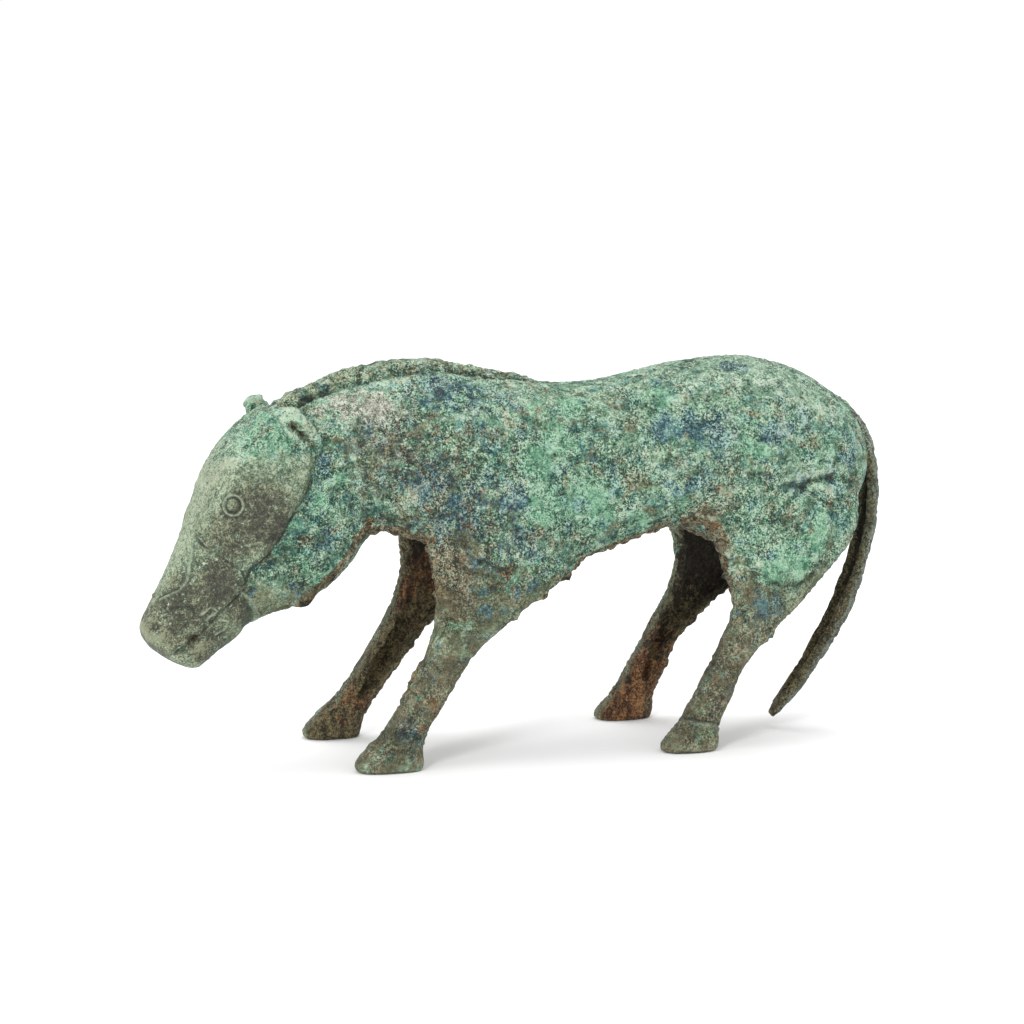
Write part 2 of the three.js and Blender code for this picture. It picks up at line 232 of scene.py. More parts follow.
# %% [markdown]
# The legs are half shells with a channel down their inner side, as a piece cast over a clay core
# can have. Their sections are level, and the right pair stands a few millimetres apart from the
# left pair, which the table's last two columns hold.

# %% Legs and their channels
LEFT, RIGHT = -1, 1
LEG_WALL = 2.4
CHANNEL_LIP = 1.5
# height, front edge, back edge, inner face, outer face, squareness, right front, right back
FORE_LEG = (
    (0, -55.4, -36.8, 21, 32.6, 2.5, 0.3, -1.6),
    (2.2, -56, -36.4, 20.8, 33, 2.5, 0.5, -1.6),
    (6.5, -52.3, -36.2, 20.6, 31.6, 2.4, 0.2, -0.8),
    (11, -46.8, -34.3, 20, 30.4, 2.3, 0, -0.4),
    (16, -42.8, -31, 19.2, 29.8, 2.3, 0, -0.2),
    (24, -37.8, -24.8, 18, 29, 2.3, 0.2, -0.6),
    (33, -32.8, -18, 16.8, 28.2, 2.3, 0.5, -0.4),
    (42, -30.4, -5.6, 15.8, 27.2, 2.3, 1.4, 0),
    (51, -29.6, 7, 14.8, 26.2, 2.3, 2.2, 0),
    (61, -31, 11, 13, 25.6, 2.3, 2.2, 0),
    (72, -31, 9, 11, 25, 2.1, 1, 0),
    (84, -27, 2, 10, 21.5, 2, 0, 0),
)
HIND_LEG = (
    (0, 36.4, 52.8, 21.4, 32.6, 2.5, 0, 0),
    (2.2, 36.2, 53.6, 21.2, 33, 2.5, 0, 0),
    (6.5, 40.3, 53.5, 21, 31.8, 2.4, -0.4, 0),
    (10, 43.5, 55.2, 20.6, 30.4, 2.3, -1.2, -0.7),
    (16, 47.4, 58.4, 19.8, 29.8, 2.3, -2, -1.6),
    (23, 51.8, 61.9, 18.8, 29.2, 2.3, -2.5, -2.2),
    (31, 56.4, 69.4, 17.6, 28.8, 2.3, -3, -2.9),
    (39, 60.2, 78.2, 16.6, 28.4, 2.3, -2.9, -2.4),
    (46, 61, 85.8, 15.6, 28.2, 2.3, -1.8, -1.6),
    (54, 57.6, 93.6, 14.6, 28.2, 2.3, 0.8, -0.5),
    (63, 54.5, 99, 13, 28.3, 2.25, 1.4, 0),
    (75, 55.5, 98.2, 11, 27.2, 2, 1, 0),
    (89, 63, 88, 10, 22, 2, 0, 0),
)


def leg_rows(sections, side, steps, first=0.0):
    """A leg's sections from the sole up, with the right pair's own shift in the right pair."""
    rows = through(sections, steps, first)
    if side == RIGHT:
        rows[:, 1:3] += rows[:, 6:8]
    return rows


def leg_loops(rows, side, middle, half_length, half_depth, count):
    """Level loops up a leg. middle is how far each lies from the horse's own middle."""
    flat = np.zeros(len(rows))
    centre = np.stack([(rows[:, 1] + rows[:, 2]) / 2, side * middle, rows[:, 0]], axis=1)
    ahead = np.stack([half_length, flat, flat], axis=1)
    outward = np.stack([flat, half_depth, flat], axis=1)
    return skin(squared_loops(centre, ahead, outward, rows[:, 5], 0.0, count))


def leg(sections, side):
    rows = leg_rows(sections, side, 70)
    middle = (rows[:, 3] + rows[:, 4]) / 2
    half_length = (rows[:, 2] - rows[:, 1]) / 2
    return leg_loops(rows, side, middle, half_length, (rows[:, 4] - rows[:, 3]) / 2, 56)


def channel(sections, side, lowest=3.2):
    """The hollow of a leg, open on the inner side. It starts at the section numbered lowest."""
    rows = leg_rows(sections, side, 60, lowest / (len(sections) - 1))
    opening = np.minimum(1, 0.35 + 0.65 * np.linspace(0, 4, len(rows)))
    half_length = ((rows[:, 2] - rows[:, 1]) / 2 - CHANNEL_LIP) * opening
    depth = (rows[:, 4] - rows[:, 3] - LEG_WALL) * opening
    return leg_loops(rows, side, rows[:, 3], half_length, depth, 40)


LEGS = tuple(itertools.product((FORE_LEG, HIND_LEG), (LEFT, RIGHT)))
outside += [leg(sections, side) for sections, side in LEGS]
print("legs:", len(LEGS))

# %% [markdown]
# The tail is a long curved gutter, open towards the body. Its sections stand square to the line that
# it follows, which is what sweeping a profile along a path does. The cropped mane is a low ridge
# along the top of the neck.

# %% Tail and mane
TAIL_WALL = 1.5
# middle x, middle z, half depth, half width
TAIL = (
    (94, 99.5, 1.6, 3.4),
    (102.5, 94.7, 2.4, 3.9),
    (108.3, 87.4, 2.4, 4.2),
    (111.3, 78, 2.2, 4.5),
    (112, 67, 2.2, 4.8),
    (110.3, 55, 2.4, 5),
    (106.1, 41.5, 2.6, 4.9),
    (99.9, 28.8, 2.5, 4.5),
    (91.9, 16.4, 2.2, 3.6),
    (84.2, 6.8, 1.7, 2.8),
    (81.2, 3.2, 1.1, 1.7),
)
# crest x, crest z, half width
MANE = (
    (-74.5, 99.6, 1.8),
    (-69.5, 103.6, 3.4),
    (-62, 107, 3.9),
    (-51.5, 110.3, 4.2),
    (-39.8, 112.5, 4.4),
    (-27.8, 113.4, 4.4),
    (-15.8, 111.8, 4),
    (-3.7, 109.2, 3.3),
    (5, 107, 2.2),
    (11, 104.2, 0.9),
)
MANE_DEPTH = 8


def tail(gutter=False):
    """The tail, or else the gutter that is cut along its front."""
    rows = through(TAIL, 120, *((0.26, 0.87) if gutter else (0, 1)))
    flat = np.zeros(len(rows))
    centre = np.stack([rows[:, 0], flat, rows[:, 1]], axis=1)
    run = np.gradient(centre, axis=0)
    run /= np.linalg.norm(run, axis=1)[:, None]
    ahead = np.stack([run[:, 2], flat, -run[:, 0]], axis=1)
    depth, half = rows[:, 2], rows[:, 3]
    if gutter:
        centre = centre + ahead * depth[:, None]
        depth = 2 * depth - TAIL_WALL
        half = half - TAIL_WALL
    side = np.stack([flat, half, flat], axis=1)
    return skin(squared_loops(centre, ahead * depth[:, None], side, 2.3, 0.0, 36))


def mane():
    rows = through(MANE, 90)
    flat = np.zeros(len(rows))
    centre = np.stack([rows[:, 0], flat, rows[:, 1] - MANE_DEPTH / 2], axis=1)
    up = np.stack([flat, flat, flat + MANE_DEPTH / 2], axis=1)
    side = np.stack([flat, rows[:, 2], flat], axis=1)
    return skin(squared_loops(centre, up, side, 3.2, 0.1, 32))


outside += [tail(), mane()]

# %% [markdown]
# Each ear is a small folded leaf that leans on the side of the poll. A leaf like this can be a row of
# flattened loops along one line, wide in the middle and closing to a rounded tip.

# %% Ears
EAR_BASE = np.array((-63.2, 14.2, 90.8))
EAR_TIP = np.array((-74, 18.4, 101.4))
EAR_HALF, EAR_DEPTH = 3.5, 2.3
EAR_SHAPE = ((0, 0.6), (0.25, 0.85), (0.55, 1), (0.82, 0.95), (0.96, 0.68), (1.02, 0.3))


def ear(side):
    mirror = np.array((1, side, 1))
    run = (EAR_TIP - EAR_BASE) * mirror
    across = np.array((run[2], 0, -run[0]))
    across /= np.linalg.norm(across)
    outward = np.cross(across, run)
    outward *= side * np.sign(outward[1]) / np.linalg.norm(outward)
    rows = through(EAR_SHAPE, 24)
    centre = EAR_BASE * mirror + run * rows[:, :1]
    up = across * EAR_HALF * rows[:, 1:]
    return skin(squared_loops(centre, up, outward * EAR_DEPTH * rows[:, 1:], 2.0, 0.0, 24))


outside += [ear(LEFT), ear(RIGHT)]
print("outer forms:", len(outside))

# %% [markdown]
# The forms still pass through each other. A voxel remesh melts them into one closed skin with even
# faces, much as wax is melted together before casting, and it leaves points close enough together
# to carve.

# %% Melt the forms into one skin
VOXEL = 0.55
CORE_VOXEL = 1.1


def apply(target, kind, **settings):
    """Adds one modifier and turns its result into the mesh."""
    modifier = target.modifiers.new(kind.lower(), kind)
    for key, value in settings.items():
        setattr(modifier, key, value)
    ready = target.evaluated_get(bpy.context.evaluated_depsgraph_get())
    mesh = bpy.data.meshes.new_from_object(ready)
    target.modifiers.clear()
    old, target.data = target.data, mesh
    bpy.data.meshes.remove(old)
    return target


horse = mesh_object("bronze_horse", outside)
apply(horse, "REMESH", mode="VOXEL", voxel_size=VOXEL)
print("skin:", len(horse.data.vertices), "points")

# %% [markdown]
# From here on the skin is shaped point by point. Blender hands over all the points of a mesh in one
# long list, which can be changed at once as a numpy array. Moving each point towards the middle of
# its neighbours smooths the skin there.

# %% Points, directions and neighbours


def read_points(mesh):
    points = np.empty(len(mesh.vertices) * 3)
    mesh.vertices.foreach_get("co", points)
    return points.reshape(-1, 3)


def write_points(mesh, points):
    mesh.vertices.foreach_set("co", points.ravel())
    mesh.update()


def read_normals(mesh):
    normals = np.empty(len(mesh.vertices) * 3)
    mesh.vertices.foreach_get("normal", normals)
    return normals.reshape(-1, 3)


def neighbours(mesh):
    """A function that averages values over each point's neighbours."""
    edges = np.empty(len(mesh.edges) * 2, np.int64)
    mesh.edges.foreach_get("vertices", edges)
    a, b = edges.reshape(-1, 2).T
    size = len(mesh.vertices)
    ends, others = np.concatenate([a, b]), np.concatenate([b, a])
    degree = np.maximum(np.bincount(ends, minlength=size), 1)

    def mean(values):
        if values.ndim == 1:
            return np.bincount(ends, values[others], size) / degree
        return np.stack([mean(column) for column in values.T], axis=1)

    return mean


def relax(points, mean, weight, rounds):
    """Moves each point a share of the way to its neighbours' middle, again and again."""
    for _ in range(rounds):
        points = points + (mean(points) - points) * weight
    return points


# %% [markdown]
# Where two forms meet, the remesh leaves a sharp valley. On the real horse the shoulder and the
# haunch swell softly out of the body. Averaging fills a valley, and a weight keeps that to the
# valleys, so that crisp forms stay crisp.

# %% Soften the valleys
TRUNK_FRONT, TRUNK_BACK, TRUNK_FOOT, TRUNK_TOP = -58, 103, 36, 100
VALLEY_DEPTH = 0.03
WIDEN_ROUNDS, SOFTEN_ROUNDS = 26, 70
mean = neighbours(horse.data)
points = relax(read_points(horse.data), mean, 0.5, 8)
write_points(horse.data, points)
valley = np.einsum("ij,ij->i", relax(points, mean, 0.5, 12) - points, read_normals(horse.data))
on_trunk = (points[:, 0] > TRUNK_FRONT) & (points[:, 0] < TRUNK_BACK)
on_trunk &= (points[:, 2] > TRUNK_FOOT) & (points[:, 2] < TRUNK_TOP)
weight = np.clip((valley - VALLEY_DEPTH) * 12, 0, 1) * on_trunk
for _ in range(WIDEN_ROUNDS):
    weight = np.maximum(weight, mean(weight))
weight = relax(weight, mean, 1.0, 6) * 0.9
points = relax(points, mean, weight[:, None], SOFTEN_ROUNDS)
write_points(horse.data, points)
print("softened points:", int((weight > 0.2).sum()))

# %% [markdown]
# Corroded bronze is never smooth. It has broad dents and swellings from the wax model, and a skin
# of grains that grew on it in the ground. Both are random, so they come from repeatable noise: a
# whole-number hash gives every small cell of space its own value, the same on every run.

# %% Repeatable noise


def cell_value(cell, seed):
    """A random number from 0 to 1 for each whole-number cell of space."""
    mixed = (cell[:, 0] * 73856093) ^ (cell[:, 1] * 19349663) ^ (cell[:, 2] * 83492791)
    mixed = (mixed ^ (seed * 40503)) * 1274126177
    mixed = (mixed ^ (mixed >> 15)) * 2246822519
    return ((mixed ^ (mixed >> 13)) & 0xFFFFFF) / 0xFFFFFF


def swells(at, size, seed):
    """Soft random hills and dips about size mm wide, from -1 to 1."""
    place = at / size
    cell = np.floor(place).astype(np.int64)
    part = place - cell
    part = part * part * (3 - 2 * part)
    total = np.zeros(len(at))
    for corner in itertools.product((0, 1), repeat=3):
        share = np.prod(np.where(corner, part, 1 - part), axis=1)
        total += share * cell_value(cell + np.array(corner), seed)
    return 2 * total - 1


def grains(at, size, seed):
    """Rounded grains about size mm apart: 1 at the middle of a grain, 0 between grains."""
    place = at / size
    cell = np.floor(place).astype(np.int64)
    nearest = np.full(len(at), 4.0)
    for step in itertools.product((-1, 0, 1), repeat=3):
        near = cell + np.array(step)
        middle = near + np.stack([cell_value(near, seed + k) for k in range(3)], axis=1)
        nearest = np.minimum(nearest, ((place - middle) ** 2).sum(axis=1))
    return np.clip(1 - np.sqrt(nearest) / 0.8, 0, 1)


def fade(value, low, high):
    """0 below low, 1 above high, and a soft step between. It runs backwards if high is below low."""
    part = np.clip((value - low) / (high - low), 0, 1)
    return part * part * (3 - 2 * part)


# %% [markdown]
# The hollow is cut out of a finished skin. The same sections, drawn in by the wall's thickness, give
# the core. Its own skin is uneven, most of all in the legs, so the wall varies and the rims come out
# ragged. Only the thin gutter of the tail stays even.

# %% The core
WALL = 2.7
# x, half width of the opening along the underside
OPENING = ((-45, 6), (-38, 10), (-26, 13), (-10, 14.5), (20, 15), (60, 15.5), (80, 14), (92, 9))
OPENING_FOOT, OPENING_TOP = 26, 74


def opening():
    """The long gap along the underside that joins the hollow to the outside."""
    edge = [(x, y) for x, y in OPENING] + [(x, -y) for x, y in reversed(OPENING)]
    loops = np.array([[(x, y, z) for x, y in edge] for z in (OPENING_FOOT, OPENING_TOP)], float)
    return skin(loops)


inside = [
    trunk(BODY_SECTIONS, 80, 64, WALL, 0.12, 0.93),
    trunk(HEAD_SECTIONS, 40, 40, WALL, 0.36, 0.9),
    opening(),
    tail(gutter=True),
]
inside += [channel(sections, side) for sections, side in LEGS]
core = mesh_object("core", inside)
apply(core, "REMESH", mode="VOXEL", voxel_size=CORE_VOXEL)
core_points = relax(read_points(core.data), neighbours(core.data), 0.5, 3)
write_points(core.data, core_points)
in_tail = fade(core_points[:, 0], 88, 96) * fade(core_points[:, 2], 90, 84)
in_leg = fade(core_points[:, 2], 64, 54) * (1 - in_tail)
rough = swells(core_points, 9, 11) * 0.4 + swells(core_points, 3.6, 12) * 0.4 * in_leg
rough += (0.3 - grains(core_points, 2.6, 13)) * 0.6 * in_leg
core_points += read_normals(core.data) * (rough * (1 - 0.6 * in_tail))[:, None]
write_points(core.data, core_points)
print("core:", len(core.data.vertices), "points")

# %% [markdown]
# Relief is a number of millimetres for every point: how far the point moves out along its own
# direction. The crust has three layers, which grew one on another: broad dents, thin plates of
# smooth malachite with broken edges, and grit between the plates. The face was worn smooth.

# %% Dents, plates and grit
# each size is how wide a feature is, in mm
DENT_SIZE, DENT_HEIGHT = 16, 0.3
WAVE_SIZE, WAVE_HEIGHT = 6, 0.16
PLATE_HEIGHT = 0.3
GRAIN_SIZE, GRAIN_HEIGHT = 1.5, 0.5
GRIT_SIZE, GRIT_HEIGHT = 0.9, 0.16
TUFT_SIZE, TUFT_HEIGHT = 2.6, 1.1


def distances(tree, at):
    """How far each point is from a surface."""
    return np.array([tree.find_nearest(Vector(point))[3] for point in at])


def tree_of(thing):
    return BVHTree.FromObject(thing, bpy.context.evaluated_depsgraph_get())


# The line from ear to mouth where the smooth face ends: height, x
FACE_EDGE = (
    (30, -80), (44, -80), (50, -84), (57, -82.5), (61, -77.5), (65, -74.7), (71, -71.4), (77, -67.4),
    (81, -65.6), (87.5, -63.7), (91, -63.7), (97, -66), (101, -70),
)


def behind_face_edge(at):
    """How far a point lies behind the line where the smooth face ends."""
    heights, line = zip(*FACE_EDGE)
    return at[:, 0] - np.interp(at[:, 2], heights, line)


def plates(at):
    """1 on the smooth plates, 0 between them, with ragged edges."""
    height = swells(at, 7, 51) + swells(at, 3, 52) * 0.6 + swells(at, 1.4, 53) * 0.25
    return fade(height, 0.0, 0.12)


points, normals = read_points(horse.data), read_normals(horse.data)
# rough is 0.3 on the worn face, more on the crown and the ears, 1 on the body and half on the hooves
rough = 0.3 + 0.7 * fade(behind_face_edge(points), -0.6, 1.5)
rough = np.maximum(rough, 0.3 + 0.45 * fade(points[:, 2], 80, 92))
rough = np.maximum(rough, fade(points[:, 2], 86, 91) * fade(np.abs(points[:, 1]), 12, 15))
rough *= 1 - 0.5 * fade(points[:, 2], 10, 7)
lift = swells(points, DENT_SIZE, 1) * DENT_HEIGHT + swells(points, WAVE_SIZE, 2) * WAVE_HEIGHT * rough
plate = plates(points) * (rough > 0.5)
lift += plate * PLATE_HEIGHT
lift += (grains(points, GRAIN_SIZE, 3) - 0.35) * rough * (GRAIN_HEIGHT - 0.36 * plate)
lift += swells(points, GRIT_SIZE, 4) * rough * (GRIT_HEIGHT - 0.08 * plate)
on_mane = (np.abs(points[:, 1]) < 5.2) & (points[:, 2] > 97.5) & (points[:, 0] < 9) & (points[:, 0] > -75)
lift += on_mane * ((grains(points * (0.8, 1.2, 1), TUFT_SIZE, 24) - 0.55) * TUFT_HEIGHT)
points += normals * lift[:, None]
write_points(horse.data, points)
print("relief from", round(float(lift.min()), 2), "to", round(float(lift.max()), 2), "mm")

# %% [markdown]
# Now the core comes out of the skin. A boolean difference does what pouring round a clay core does.
# A remesh leaves four-cornered faces, and a face that is no longer flat can tear the cut open, so
# both skins are cut into triangles first. The points that lie on both surfaces are the new rims, and
# they are kept as the places to look for later.

# %% Cut the hollow
outer_tree = tree_of(horse)
core_tree = tree_of(core)
apply(horse, "TRIANGULATE")
apply(core, "TRIANGULATE")
apply(horse, "BOOLEAN", operation="DIFFERENCE", solver="MANIFOLD", object=core)
bpy.data.objects.remove(core)
apply(horse, "TRIANGULATE")
points = read_points(horse.data)
on_rim = (distances(outer_tree, points) < 0.12) & (distances(core_tree, points) < 0.12)
rims = KDTree(int(on_rim.sum()))
for index, point in enumerate(points[on_rim]):
    rims.insert(point, index)
rims.balance()
print("points on the rims:", int(on_rim.sum()))

# %% [markdown]
# The thickest crust sits on the rims, in lumps. Each point near a rim moves out by the height of the
# grain that it lies on, and the height fades with the distance from the rim. Then the skin is thinned
# to a number of triangles that a shared part can carry.

# %% Crust the rims
MOST_TRIANGLES = 138000
RIM_REACH = 6


def to_rim(at):
    """How far each point is from the nearest rim, up to the rims' reach."""
    return np.array([min(rims.find(point)[2], RIM_REACH) for point in at])


def on_tail(at):
    """1 on the tail and on the rump right behind it, 0 on the rest of the body."""
    line = np.interp(at[:, 2], (0, 40, 60, 78, 90), (70, 95, 103, 107, 104))
    return fade(at[:, 0] - line, 0, 2) * (at[:, 0] > 70)


def rim_crust(at, outward):
    """How thick the crust on the rims is, from 0 to 1: none at the soles, and thin on the tail."""
    thick = fade(at[:, 2], 10, 16) * (1 - 0.55 * on_tail(at)) * (1 - 0.4 * fade(at[:, 2], 44, 34))
    # thinner too on the front edges of the legs, the middle of the belly and the back of the jaw
    thick *= 1 - 0.7 * fade(-outward[:, 0], 0.1, 0.5) * fade(at[:, 2], 71, 67)
    thick *= 1 - 0.6 * fade(at[:, 0], -8, 0) * fade(at[:, 0], 48, 40)
    return thick * (1 - 0.9 * fade(np.abs(at[:, 0] + 71), 6, 3) * fade(at[:, 2], 50, 46))


mean = neighbours(horse.data)
rim_gap = to_rim(points)
points = relax(points, mean, fade(rim_gap, 1.2, 0.2)[:, None] * 0.7, 5)
write_points(horse.data, points)
outward = read_normals(horse.data)
lumps = grains(points, 3.2, 5) * 1.7 + grains(points, 1.6, 7) * 0.7 + swells(points, 8, 6) * 0.4 - 0.85
points += outward * (lumps * rim_crust(points, outward) * fade(rim_gap, 3.6, 1.2))[:, None]
points = relax(points, mean, fade(rim_gap, 2, 0.4)[:, None] * 0.5, 1)
write_points(horse.data, points)
apply(horse, "DECIMATE", ratio=min(1, MOST_TRIANGLES / len(horse.data.polygons)))
print("triangles:", len(horse.data.polygons))

# %% [markdown]
# Loose bits would show as dust round the piece, so only the largest connected part is kept.

# %% Keep one clean casting


def largest_part(thing):
    """Deletes all but the largest connected part, and says how many there were."""
    shape = bmesh.new()
    shape.from_mesh(thing.data)
    left, parts = set(shape.verts), []
    while left:
        front = [left.pop()]
        part = set(front)
        while front:
            for edge in front.pop().link_edges:
                for corner in edge.verts:
                    if corner in left:
                        left.remove(corner)
                        part.add(corner)
                        front.append(corner)
        parts.append(part)
    parts.sort(key=len)
    for part in parts[:-1]:
        print("dropped a loose bit of", len(part), "points")
        bmesh.ops.delete(shape, geom=list(part), context="VERTS")
    shape.to_mesh(thing.data)
    shape.free()
    return len(parts)


print("parts found:", largest_part(horse))

# %% [markdown]
# The modelled details are lines: the eye's ring, the incised lines of nose, cheek and mouth, the
# folds of ear, jaw and haunch. Each is a path of measured points, and a point of the skin rises or
# sinks by how close it lies to that path. Thick crust runs along a few more paths under the throat.

# %% Tables of the carved lines
BOTH, NEAR = "both sides", "near side"
EYE = (-87.6, 14.6, 75.8)
RING_RADIUS, RING_WIDTH, RING_HEIGHT = 2.85, 0.3, 0.65
# side, width, height (below 0 for a groove), points as x, distance from the middle, height
LINES = (
    (BOTH, 0.36, 0.35, (-91.3, 9.5, 79.5), (-92.9, 9.5, 74.5), (-95.3, 7, 71.4), (-96.5, 6.5, 68.5),
     (-97.7, 7.6, 62), (-99.3, 7.9, 54.2), (-101.2, 7.3, 51.4), (-106.2, 4.1, 48.6)),
    (BOTH, 0.3, -0.35, (-96.2, 7.6, 66.6), (-95.7, 9, 64.9), (-91.3, 12, 61.2), (-88.6, 12.6, 59.4),
     (-84.6, 12.7, 56.4), (-83.5, 11.9, 54)),
    (BOTH, 0.42, -0.5, (-63.6, 15.4, 88.5), (-65.6, 16.2, 80.9), (-67.4, 16.2, 77.1), (-71.4, 15.9, 71),
     (-74.7, 14.9, 64.7), (-77.4, 14, 60.8), (-82.4, 13, 56.9), (-83.4, 11.5, 52.8)),
    (BOTH, 0.36, -0.6, (-83, 10.5, 51.9), (-90.6, 9.4, 44.2), (-97.7, 8.4, 37), (-102.8, 8.1, 33.9)),
    (BOTH, 0.36, 0.5, (-95.6, 9.4, 44.6), (-93, 9.8, 46.6), (-91.2, 9.4, 45.4), (-94.3, 9.3, 43)),
    (BOTH, 0.36, 0.5, (-91.4, 9.2, 38.6), (-88.5, 9.2, 40), (-87.8, 9.6, 42.2), (-90.4, 9.6, 42.8)),
    (BOTH, 0.4, 0.35, (-84.1, 10.8, 50.4), (-80.9, 9.5, 47.8), (-78.3, 6.6, 43.7)),
    (BOTH, 0.35, -0.3, (-106.2, 3.3, 49), (-104.2, 5.4, 50.4), (-102.5, 6.8, 50.2)),
    (BOTH, 0.4, -0.3, (-103.6, 6, 46), (-100, 7.5, 47), (-97, 8.6, 45)),
    (BOTH, 1.4, -1.7, (-71, 19.2, 98), (-67.8, 18, 94.8), (-64.8, 16.6, 91.4)),
    (BOTH, 0.8, 0.5, (-71.6, 18.2, 101.6), (-66.3, 16.8, 97.6), (-62.6, 15.2, 93)),
    (BOTH, 1.1, -0.25, (-72, 4.2, 100.5), (-63, 4.9, 103.4), (-52, 5.2, 106.2), (-40, 5.4, 108.3),
     (-28, 5.4, 109), (-16, 5, 108), (-4, 4.2, 106.4), (5, 2.8, 105)),
    (BOTH, 1.3, -0.35, (-50.8, 13.2, 98.1), (-50.4, 15.6, 92.7), (-49.8, 16.9, 87.2),
     (-49.2, 17.2, 81.5), (-48.8, 16.7, 75.7), (-48.8, 14.8, 70.4)),
    (BOTH, 1.6, 0.35, (-53.4, 13.2, 97), (-53, 15.6, 92), (-52.4, 16.9, 87.2), (-51.8, 17.2, 81.5),
     (-51.2, 16.7, 75.7), (-51.2, 14.8, 70.4)),
    (BOTH, 0.9, -1.0, (73.6, 28.2, 75.2), (78.4, 27.8, 76.2), (85.1, 26.6, 77), (92.8, 24.1, 77.5)),
    (BOTH, 1.0, 0.3, (72, 28.2, 77.4), (78.4, 27.8, 78.6), (85.1, 26.6, 79.2), (92.8, 24.1, 79.5)),
    (NEAR, 0.8, -0.55, (74.6, 28.4, 71.2), (77.7, 28.1, 73.1), (80.6, 27.6, 75.6)),
    (NEAR, 0.8, 0.35, (73.6, 28.4, 73), (76.2, 28.2, 75)),
    (NEAR, 1.1, 0.3, (53.5, 26.5, 72), (57.4, 27.5, 75.1), (61.3, 27.7, 77.9)),
    (NEAR, 0.8, -0.25, (62.7, 26.8, 59), (64.8, 27.1, 53.6), (68.6, 27.8, 48.9), (73.5, 28.2, 46.4),
     (78.6, 27.8, 47), (83.2, 27.4, 50.2)),
    (NEAR, 0.8, -0.6, (-19, 25.3, 58.3), (-12.5, 25.8, 55.6), (-6.5, 25.8, 54.3)),
    (BOTH, 0.5, -0.2, (41.5, 26.3, 9.8), (46.7, 30.5, 9.2), (53.6, 29.5, 7.4)),
    (BOTH, 0.6, 0.35, (41.5, 26.3, 8.4), (46.7, 30.5, 7.8), (53.6, 29.5, 6)),
    (NEAR, 1.1, -0.4, (-48.7, 23.8, 9.2), (-44.8, 28.7, 11), (-39.5, 30.5, 9.4)),
)
# the same for thick brown crust, which is lumpy
CRUSTS = (
    (NEAR, 1.8, 0.7, (-50.3, 12.5, 66.9), (-46, 12, 66.8), (-42, 12.4, 66.8)),
    (NEAR, 2.4, 1.5, (-39, 13.4, 66.4), (-35.5, 15.2, 65.2), (-32, 17.4, 62.6)),
    (NEAR, 2.2, 1.2, (-30.6, 18.8, 59.6), (-29.6, 20.7, 53.1), (-29.4, 22, 49.2)),
    (BOTH, 1.9, 0.8, (-66.4, 6.3, 46.5), (-61.9, 7.9, 50),
     (-57.8, 9.3, 53.7), (-53.8, 10.9, 58.6), (-51.1, 11.8, 62.9), (-50.1, 13.3, 66.7)),
    (NEAR, 2.2, 1.5, (46, 21, 67), (52, 22.6, 66.1), (55, 22.4, 62), (58, 21, 55), (60, 20, 46)),
    (NEAR, 1.6, 1.0, (-40.7, 24.1, 19.5), (-38, 22.5, 24), (-35.7, 21.7, 28)),
    (NEAR, 1.7, 1.0, (24, 16.5, 58.6), (30, 17.6, 61.2), (36, 18.8, 63.6), (40, 20.2, 65)),
    (NEAR, 1.7, 1.4, (3, 16.5, 49.5), (7, 16.2, 51.2), (11.5, 16, 52.8)),
)
# lumps and pits: side, x, distance from the middle, height, radius, lift
SPOTS = (
    (BOTH, -108.3, 6, 40.8, 0.9, -0.9), (BOTH, -97.7, 8.4, 37.4, 1.15, -2.2),
    (NEAR, -76.6, 15.5, 65.5, 0.9, -0.8), (NEAR, -65.1, 16.2, 71.3, 0.9, -0.8),
    (NEAR, -77.2, 11.2, 51.8, 0.9, -0.8), (NEAR, -101.8, 8.4, 43.3, 0.7, -0.6),
    (NEAR, -65.2, 6.9, 46.6, 2.4, 2.3), (NEAR, 5.1, 22.5, 51, 1.8, 0.8), (NEAR, 10.5, 16.5, 52.4, 2.2, 1),
    (NEAR, 61, 21.3, 42.4, 1.6, 1.1), (NEAR, 59.8, 22.9, 38.4, 1.6, 1.2), (NEAR, 70.2, 26.4, 32.6, 1.1, 1.3),
    (NEAR, 68.6, 26.1, 30.9, 1.3, 1.2), (NEAR, 54.3, 29.2, 12.6, 1, 0.9), (NEAR, 1.2, 23.6, 47, 1.6, 1.3),
    (NEAR, -7.3, 24.2, 41, 1.6, 1), (NEAR, -34.4, 29.2, 19.6, 1.8, 0.8), (NEAR, -38, 30.2, 12.6, 1.5, 0.8),
    (NEAR, -40.6, 29.8, 14.6, 1.3, -0.7), (NEAR, -36.6, 29, 22.6, 1.4, -0.5),
    (BOTH, 55.6, 20.7, 17.1, 1.6, 0.9), (BOTH, 59.4, 19.3, 49, 1.8, 1.1), (BOTH, 63.6, 20.1, 30.1, 1.5, 0.8),
)
print("carved lines:", len(LINES), "crusts:", len(CRUSTS), "spots:", len(SPOTS))

# %% [markdown]
# Every carved form needs one measure: how far along the skin a point lies from a path or a place. A
# path on both sides is measured once, with the far side of the horse folded over onto the near side.

# %% Measure along the skin


def nearest_on(path, at):
    """From each point to the nearest place on a path."""
    best, gap_to = np.full(len(at), 99.0), np.zeros_like(at)
    for start, end in zip(path[:-1], path[1:]):
        run = end - start
        share = np.clip((at - start) @ run / (run @ run), 0, 1)
        gap = at - start - share[:, None] * run
        size = np.linalg.norm(gap, axis=1)
        gap_to[size < best] = gap[size < best]
        best = np.minimum(best, size)
    return gap_to


def along_skin(gap, facing):
    """The part of a gap that runs along the skin, and far off where the path is deep below it."""
    over = np.einsum("ij,ij->i", gap, facing)
    flat = np.sqrt(np.maximum((gap**2).sum(axis=1) - over**2, 0))
    return np.where(np.abs(over) < 4, flat, 99.0)


